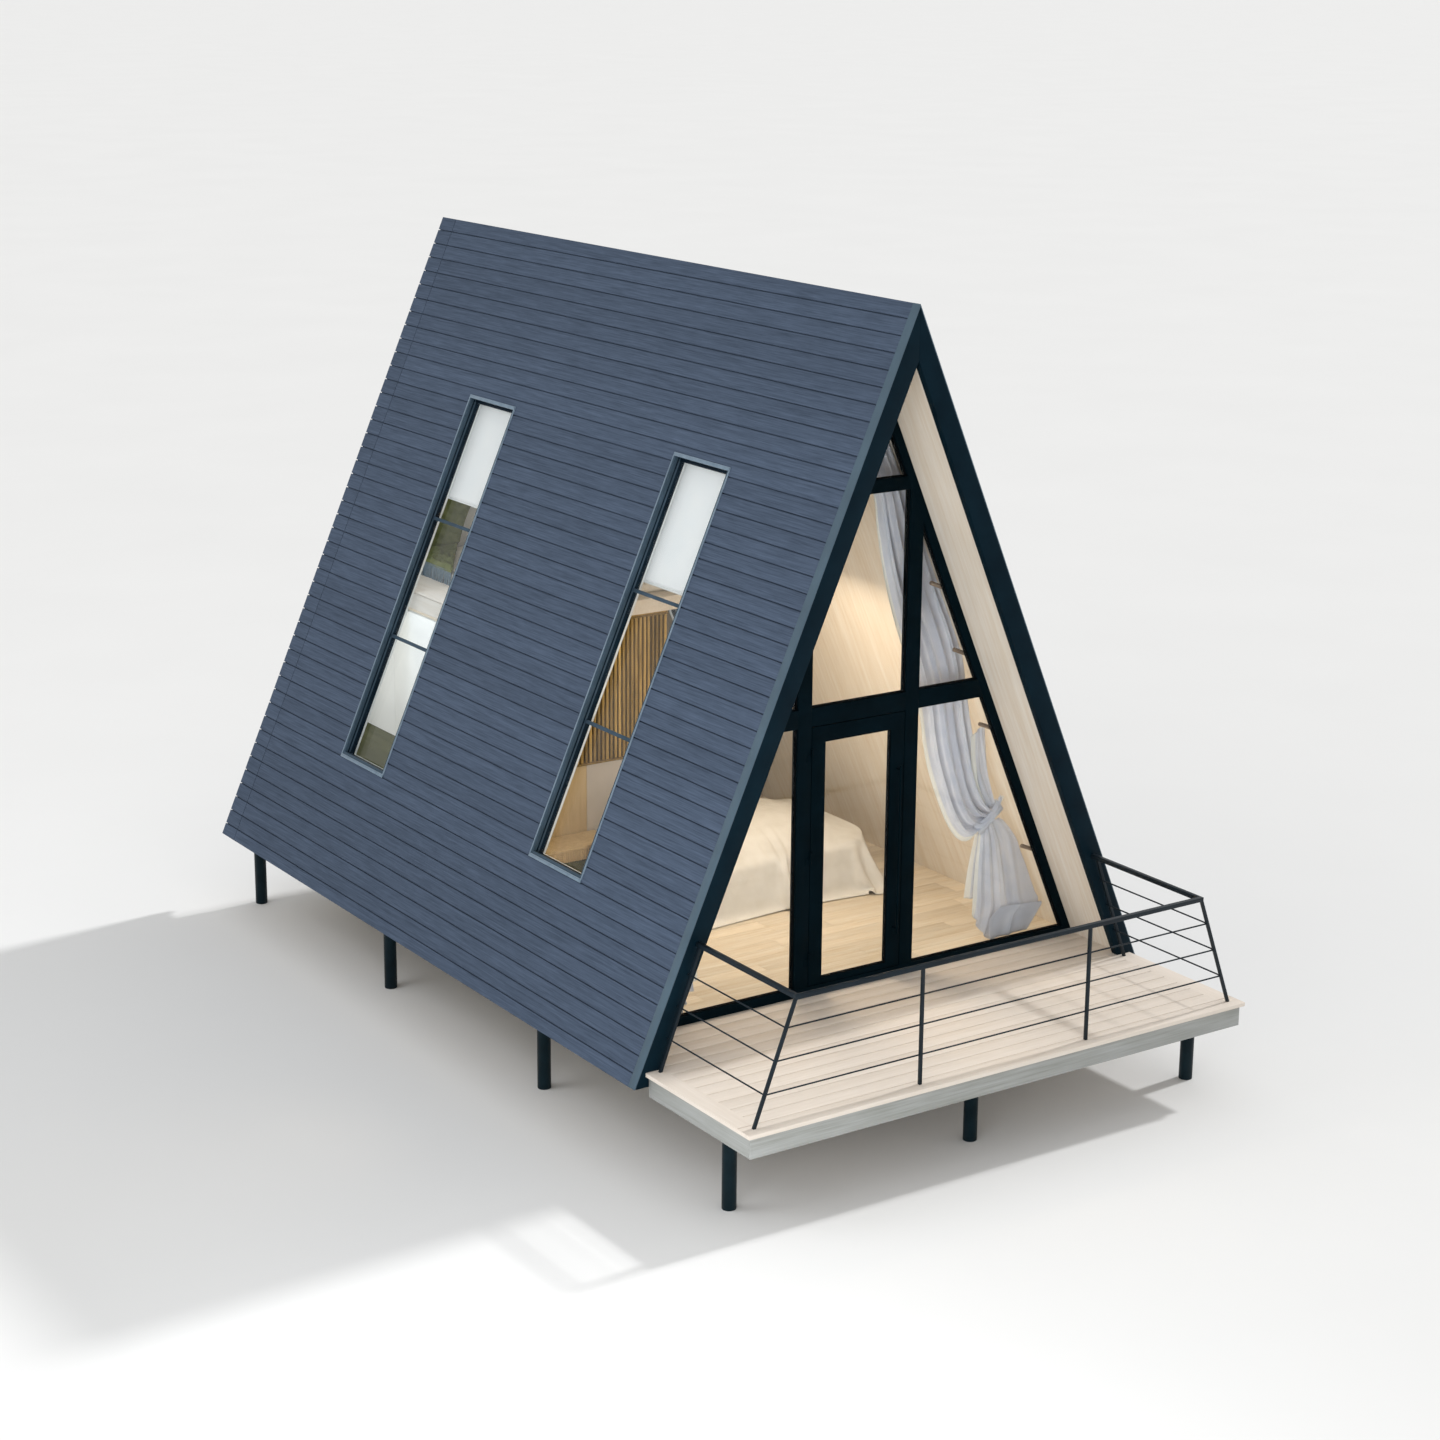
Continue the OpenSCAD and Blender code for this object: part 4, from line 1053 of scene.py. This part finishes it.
def bedspread():
    s = spread
    low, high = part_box("mattress")
    low.x = bed["headX"]
    high.x += s["foot"]
    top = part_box("duvet")[1].z - s["clothT"]
    ground = bmesh.new()
    roomFloor = Matrix.Translation((0, 0, deckZ))
    bmesh.ops.create_grid(ground, x_segments=1, y_segments=1, size=3, matrix=roomFloor)
    solids = (bedForm(low, high, top), place("bedGround", ground))
    for solid in solids:
        solid.modifiers.new("touch", "COLLISION")
        solid.collision.thickness_outer = 0.004
        solid.collision.cloth_friction = s["friction"]
    width = high.y - low.y + 2 * s["drop"]
    length = high.x - s["headX"] + s["drop"]
    mesh = unitGrid(round(length / s["cell"]), round(width / s["cell"]))
    clothUv(mesh, length, width)
    hub = Vector((length - s["cutRound"], width / 2 - s["cutRound"]))
    middleY = (low.y + high.y) / 2
    for corner in mesh.verts:  # the cloth's two foot corners are cut round
        x, y = corner.co.x * length, (corner.co.y - 0.5) * width
        sag = s["sag"] * noise.noise((x * 4, y * 4, 0))
        out = Vector((x - hub.x, abs(y) - hub.y))
        if min(out) > 0:
            out *= max(out) / out.length
            x, y = hub.x + out.x, math.copysign(hub.y + out.y, y)
        corner.co = (s["headX"] + x, middleY + y, top + s["liftedBy"] + sag)
    piece = finish(mesh, "bedspread", whiteCloth, ("duvet",), "cabin", 80)
    simulate(piece, s["frames"], 1.0, {
        "quality": 8, "mass": s["mass"], "air_damping": s["damping"], "tension_stiffness": s["tension"],
        "compression_stiffness": s["tension"], "bending_stiffness": s["bending"],
    })
    for solid in solids:
        bpy.data.objects.remove(solid)
    bpy.context.scene.frame_set(1)
    thicken(piece, s["clothT"], 1)


bedspread()
print("bedspread draped")

blanket = {  # hangs down the rear wall, lies over the mattress corner, its fringe over the mattress's side
    "leftX": -0.815, "wallX": 0.16, "bendX": -0.168, "wallZ": 3.78, "frontY": 2.74, "onWall": 0.36,
    "fold": 0.045, "clothT": 0.008, "wide": 0.87, "long": 1.72, "yarns": 100, "yarnL": 0.130, "yarnD": 0.010,
    "offWall": 0.05, "slump": 0.10, "wallFold": 0.6, "tip": 0.02, "leftSag": 0.01, "cutShare": 0.75,
}


def crumple(across, down):  # sharp ridges that wander, and broad swells between them
    swirl = noise.noise((across * 2.2, down * 3.0, 3.0))
    sharp = (1 - abs(noise.noise((across * 3.0 + swirl, down * 5.0 + swirl, 1.7)))) ** 4
    return sharp + 0.8 * max(0.0, noise.noise((across * 2.0, down * 4.0, 8.0)))


def loftBlanket():
    b = blanket
    topY = roomRearY - b["offWall"]
    bendY = topY - b["slump"]
    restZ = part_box("loft_mattress")[1].z + b["clothT"]
    mesh = unitGrid(48, 80)
    clothUv(mesh, b["wide"], b["long"])
    for corner in mesh.verts:
        across, down = corner.co.x, corner.co.y
        ridge = b["fold"] * crumple(across, down)
        if down < b["onWall"]:
            share = down / b["onWall"]
            y = topY - b["slump"] * share ** 3 - b["wallFold"] * ridge
            z = b["wallZ"] + (restZ - b["wallZ"]) * share ** 1.1
            edgeX = b["wallX"] + (b["bendX"] - b["wallX"]) * share
        else:
            share = (down - b["onWall"]) / (1 - b["onWall"])
            y = bendY + (b["frontY"] - bendY) * share
            z = restZ + ridge * min(1.0, share * 5) * min(1.0, across * 8)
            edgeX = b["bendX"] + (b["leftX"] + b["tip"] - b["bendX"]) * share
        x = b["leftX"] + (edgeX - b["leftX"]) * across
        corner.co = (x, y, z - b["leftSag"] * max(0.0, 1 - across * 12))
    piece = finish(mesh, "loftBlanket", oliveCloth, ("loft_blanket",), "cabin", 80)
    thicken(piece, b["clothT"])
    fringe = bmesh.new()
    length = bendY - b["frontY"]
    for number in range(b["yarns"]):
        y = b["frontY"] + (number + draw.uniform(0.2, 0.8)) * length / b["yarns"]
        top = (b["leftX"] + 0.004, y, restZ + 0.004)
        end = (b["leftX"] - draw.uniform(0.005, 0.02), y + draw.uniform(-0.006, 0.006), restZ - b["yarnL"])
        addRound(fringe, top, end, b["yarnD"], sides=6)
    finish(fringe, "blanketFringe", fringeYarn, ("loft_blanket",))


loftBlanket()


def evenPath(points, count):  # a Catmull-Rom curve through points, cut into equal lengths
    fine = []
    last = len(points) - 1
    for index in range(last):
        a, b, c, d = [Vector(points[max(0, min(last, index + step))]) for step in (-1, 0, 1, 2)]
        for t in (number / 12 for number in range(12)):
            bend = (2 * a - 5 * b + 4 * c - d) * t * t + (3 * b - a - 3 * c + d) * t ** 3
            fine.append(0.5 * (2 * b + (c - a) * t + bend))
    fine.append(Vector(points[-1]))
    travelled = [0.0]
    for before, after in zip(fine, fine[1:]):
        travelled.append(travelled[-1] + (after - before).length)
    path, index = [], 0
    for number in range(count + 1):
        goal = travelled[-1] * number / count
        while index < len(fine) - 2 and travelled[index + 1] < goal:
            index += 1
        share = (goal - travelled[index]) / max(1e-9, travelled[index + 1] - travelled[index])
        path.append(fine[index].lerp(fine[index + 1], min(1.0, share)))
    return path


swag = {  # edges as (x, height over the floor) from the top down, seen from the front
    "inner": [
        (0.07, 4.37), (0.24, 3.88), (0.28, 3.62), (0.35, 3.27), (0.45, 2.92), (0.56, 2.62), (0.74, 2.08),
        (0.79, 1.82), (0.85, 1.58), (0.96, 1.30), (1.07, 1.08), (1.19, 0.94), (1.30, 0.92), (1.41, 1.00),
    ],
    "outer": [
        (0.35, 4.36), (0.60, 3.85), (0.92, 3.08), (1.05, 2.81), (1.15, 2.54), (1.21, 2.24), (1.24, 2.07),
        (1.29, 1.84), (1.38, 1.48), (1.53, 1.17),
    ],
    "pleats": 4.5, "depth": (0.055, 0.045), "wide": 0.62, "long": 3.95, "columns": 100, "rows": 90,
    "rest": 0.0, "skew": 1.15, "shade": 0.5,
}
sideFall = {  # the cloth that comes down beside the swag to the knot
    "inner": [(1.27, 1.80), (1.28, 1.60), (1.33, 1.38), (1.43, 1.18)],
    "outer": [(1.405, 1.893), (1.423, 1.718), (1.454, 1.481), (1.55, 1.18)],
    "pleats": 1.5, "depth": (0.010, 0.018), "wide": 0.17, "long": 0.72, "columns": 36, "rows": 30,
    "rest": -0.012, "skew": 1.0, "shade": 0.3,
}
tail = {  # below the knot, its pleats calmer towards the outer edge
    "inner": [(1.41, 1.02), (1.395, 0.925), (1.368, 0.664), (1.355, 0.400), (1.352, 0.262)],
    "outer": [
        (1.60, 1.06), (1.67, 1.01), (1.794, 0.852), (1.841, 0.741), (1.912, 0.591), (2.008, 0.367),
        (2.056, 0.245), (1.905, 0.060),
    ],
    "hem": [
        (1.352, 0.262), (1.395, 0.210), (1.43, 0.130), (1.49, 0.060), (1.535, 0.020), (1.62, 0.022),
        (1.75, 0.030), (1.85, 0.042), (1.905, 0.060),
    ],
    "pleats": 5.0, "depth": (0.016, 0.040), "wide": 0.68, "long": 1.02, "columns": 140, "rows": 44,
    "rest": 0.0, "skew": 0.5, "shade": 0.4, "calm": 0.8,
}
underFall = {  # a loose corner of the cloth behind the tail
    "inner": [(1.40, 0.95), (1.335, 0.664), (1.300, 0.398)],
    "outer": [(1.48, 0.95), (1.45, 0.664), (1.44, 0.375)],
    "pleats": 1.0, "depth": (0.006, 0.012), "wide": 0.12, "long": 0.56, "columns": 20, "rows": 24,
    "rest": 0.050, "skew": 1.0, "shade": 0.3,
}
turnUp = {  # the tail's foot turned up on itself, a second layer of cloth
    "inner": [(1.620, 0.300), (1.505, 0.205), (1.512, 0.030)],
    "outer": [(2.030, 0.268), (2.056, 0.242), (1.905, 0.045)],
    "pleats": 1.0, "depth": (0.004, 0.012), "wide": 0.50, "long": 0.25, "columns": 70, "rows": 14,
    "rest": -0.048, "skew": 0.7, "shade": 0.1, "uvFrom": 0.06,
}
falls = (  # with each piece's name and the seed of its folds
    (swag, "curtainSwag_", 1.0), (sideFall, "curtainSideFall_", 4.0), (tail, "curtainTail_", 7.0),
    (turnUp, "curtainTurnUp_", 9.0), (underFall, "curtainUnderFall_", 11.0),
)
folds = {  # shares of a pleat: its drift sideways, its main and lesser wave, how its cloth bunches
    "drift": 0.55, "main": 0.75, "lesser": 0.3, "bunch": 0.05, "offRoof": 0.012, "clothT": 0.0014,
}
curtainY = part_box("curtains")[0].y + 0.036


def curtainFall(side, fall, seed):
    f = fall
    inner, outer = evenPath(f["inner"], f["rows"]), evenPath(f["outer"], f["rows"])
    hem = evenPath(f["hem"], f["columns"]) if "hem" in f else None
    mesh = unitGrid(f["columns"], f["rows"])
    clothUv(mesh, f["wide"], f["long"], f.get("uvFrom", 0.0))
    fold = mesh.verts.layers.float.new("fold")
    for corner in mesh.verts:
        across, down = corner.co.x, corner.co.y
        row = round(down * f["rows"])
        drift = folds["drift"] * noise.noise((across * 1.9, down * 1.2, seed))
        phase = 2 * math.pi * (f["pleats"] * across ** f["skew"] + drift)
        ease = min(1.0, across * 10) * min(1.0, (1 - across) * 10) * (1 - f.get("calm", 0.0) * across)
        depth = f["depth"][0] + (f["depth"][1] - f["depth"][0]) * down
        lesser = folds["lesser"] * math.cos(2.3 * phase + 4 * drift)
        out = depth * ease * (folds["main"] * math.cos(phase) + lesser)
        # painted shade: how deep a point lies in a pleat's valley, times the piece's shade, darkens the voile
        # there
        deep = max(0.0, math.cos(phase)) ** 2 * (0.6 + 0.4 * math.cos(1.7 * phase))
        corner[fold] = f["shade"] * ease * deep
        spot = inner[row].lerp(outer[row], across + folds["bunch"] / f["pleats"] * math.sin(phase) * ease)
        if hem:
            spot += down ** 2 * (hem[round(across * f["columns"])] - inner[-1].lerp(outer[-1], across))
        widest = slopeX(deckZ + spot.y, roofDepth) - folds["offRoof"]
        corner.co = (side * min(spot.x, widest), curtainY + f["rest"] + out, deckZ + spot.y)
    return mesh


knot = {
    "centre": (1.490, 1.085), "turnDeg": 40, "long": 0.30, "thick": 0.120, "band": 0.120, "pleats": 3,
    "earFrom": (1.575, 1.150), "earL": 0.100, "earW": 0.14, "earFootW": 0.03, "earDeg": (52, 96),
    "earIn": 0.02, "earFold": 0.012, "earNotch": 0.12, "wide": 0.70, "deep": 0.13, "swell": 0.10,
    "pinched": 0.62, "rounded": 2.4,
}


def curtainKnot(side):  # the cloth's end wound once round the gathers, its tip standing up as an ear
    k = knot
    mesh = unitGrid(64, 16)
    clothUv(mesh, k["wide"], k["deep"])
    turn = math.radians(k["turnDeg"])
    along = Vector((math.cos(turn), math.sin(turn)))
    down = Vector((math.sin(turn), -math.cos(turn)))
    for corner in mesh.verts:
        angle = 2 * math.pi * corner.co.x
        across = corner.co.y - 0.5
        stray = 1.5 * noise.noise((3 * corner.co.x, 1, 2))
        swell = 1 + k["swell"] * math.cos(2 * math.pi * k["pleats"] * corner.co.y + stray)
        pinch = k["pinched"] + (1 - k["pinched"]) * abs(math.cos(angle))
        spot = (
            Vector(k["centre"]) + along * (k["long"] / 2 * math.cos(angle) * (0.9 + 0.1 * swell))
            + down * (across * k["band"] * pinch)
        )
        y = curtainY + k["thick"] / 2 * math.sin(angle) * swell * (1 - k["rounded"] * across * across)
        corner.co = (side * spot.x, y, deckZ + spot.y)
    seam = [edge for edge in mesh.edges if edge.is_boundary]
    bmesh.ops.remove_doubles(mesh, verts=list({v for edge in seam for v in edge.verts}), dist=1e-5)
    ear = unitGrid(20, 10)
    clothUv(ear, k["earW"], k["earL"])
    firstDeg, lastDeg = k["earDeg"]
    for corner in ear.verts:
        across = corner.co.x
        fan = math.radians(firstDeg + (lastDeg - firstDeg) * across)
        reach = corner.co.y * k["earL"] * (1 - k["earNotch"] * math.cos(4 * math.pi * across))
        x = k["earFrom"][0] + k["earFootW"] * (across - 0.5) + reach * math.cos(fan)
        y = curtainY - k["earIn"] + k["earFold"] * math.cos(6 * math.pi * across)
        corner.co = (side * x, y, deckZ + k["earFrom"][1] + reach * math.sin(fan))
    addMesh(mesh, ear)
    return mesh


def hangCurtain(mesh, name):
    piece = finish(mesh, name, voile, ("curtains",), "cabin", 80)
    thicken(piece, folds["clothT"])


def curtain(side, label):
    for fall, name, seed in falls:
        hangCurtain(curtainFall(side, fall, seed), name + label)
    hangCurtain(curtainKnot(side), "curtainKnot_" + label)


curtain(-1, "left")
curtain(1, "right")
softened("wall_pegs", 0.005, walnut)
print("curtains hung")

studio = {
    "floorHalf": 400.0, "floorLight": "#eeeeed", "floorDark": "#ececeb", "skyStrength": 0.66,
    "sunFrom": (0.748, 0.047, 0.662), "sunStrength": 1.61, "sunSoftDeg": 3.5,
    "roomPlace": (0.0, -0.9, 3.7), "roomSize": (0.9, 0.9), "roomPower": 39.0,
    "bulbPlace": (0.0, -1.2, 2.6), "bulbSize": 0.25, "bulbPower": 13.0,
    "loftPlace": (2.95, 3.97, -0.02), "loftSize": (1.9, 3.6), "loftPower": 12.0,
    "frontPlace": (-6.5, -8.0, 1.6), "frontAim": (0.6, -2.2, 2.4), "frontSize": (4.0, 4.0),
    "frontPower": 235.0, "sidePlace": (-9.5, 1.0, 8.5), "sideAim": (-1.4, 0.7, 3.2), "sideSize": (5.0, 5.0),
    "sidePower": 185.0,
}
floorMesh = bmesh.new()
bmesh.ops.create_grid(floorMesh, x_segments=1, y_segments=1, size=studio["floorHalf"])
studioFloor = place("studioFloor", floorMesh)
studioFloor.data.materials.append(coated("matt studio floor", {
    "light": studio["floorLight"], "dark": studio["floorDark"], "mottleMm": 3000, "peelMm": 20,
    "relief": 0.0, "roughness": 0.9,
}))

sun = bpy.data.lights.new("keySun", "SUN")
sun.energy = studio["sunStrength"]
sun.angle = math.radians(studio["sunSoftDeg"])
sunHolder = bpy.data.objects.new("keySun", sun)
sunHolder.rotation_euler = Vector(studio["sunFrom"]).to_track_quat("Z", "Y").to_euler()
bpy.context.scene.collection.objects.link(sunHolder)


def hangLamp(lamp, power, colour, where):  # shines along its own -Z, itself out of sight
    lamp.energy = power
    lamp.color = colour
    holder = bpy.data.objects.new(lamp.name, lamp)
    holder.matrix_world = where
    holder.visible_camera = False
    holder.visible_glossy = False
    bpy.context.scene.collection.objects.link(holder)


def areaLamp(name, colour, where):
    lamp = bpy.data.lights.new(name + "Lamp", "AREA")
    lamp.shape = "RECTANGLE"
    lamp.size, lamp.size_y = studio[name + "Size"]
    hangLamp(lamp, studio[name + "Power"], colour, where)


warm, cool = (1.0, 0.82, 0.62), (0.96, 0.98, 1.0)
areaLamp("room", warm, Matrix.Translation(studio["roomPlace"]))
bulb = bpy.data.lights.new("bulbLamp", "POINT")
bulb.shadow_soft_size = studio["bulbSize"]
hangLamp(bulb, studio["bulbPower"], warm, Matrix.Translation(studio["bulbPlace"]))
loftY, loftDown, loftIn = studio["loftPlace"]
areaLamp("loft", cool, slopeMatrix(-1) @ Matrix.Translation((loftY, loftDown, loftIn - roofDepth)))
for side in ("front", "side"):
    spot = Vector(studio[side + "Place"])
    turned = (spot - Vector(studio[side + "Aim"])).to_track_quat("Z", "Y")
    areaLamp(side, cool, Matrix.Translation(spot) @ turned.to_matrix().to_4x4())

world = bpy.data.worlds.new("studio")
bpy.context.scene.world = world
world.use_nodes = True
skyTree = world.node_tree
path = addNode(skyTree, "ShaderNodeLightPath")
seen = addNode(
    skyTree, "ShaderNodeMath", {"operation": "MAXIMUM"},
    {0: path.outputs["Is Camera Ray"], 1: path.outputs["Is Transmission Ray"]},
).outputs[0]
sky = skyTree.nodes["Background"]
sky.inputs["Color"].default_value = (1, 1, 1, 1)
skyTree.links.new(rangeTo(skyTree, studio["skyStrength"], 1.0, seen), sky.inputs["Strength"])

view = {"place": (-12.670, -19.150, 8.850), "yaw": 0.5938, "pitch": -0.2741, "roll": 0.0086, "lens": 70.84}
camera = bpy.data.cameras.new("viewer")
camera.lens = view["lens"]
camera.sensor_width = 36.0
camera.clip_end = 1000.0
viewer = bpy.data.objects.new("viewer", camera)
viewer.matrix_world = (
    Matrix.Translation(view["place"])
    @ Matrix.Rotation(-view["yaw"], 4, "Z")
    @ Matrix.Rotation(math.pi / 2 + view["pitch"], 4, "X")
    @ Matrix.Rotation(view["roll"], 4, "Z")
)
bpy.context.scene.collection.objects.link(viewer)
bpy.context.scene.camera = viewer
bpy.context.scene.view_settings.view_transform = "Standard"
print("studio set")
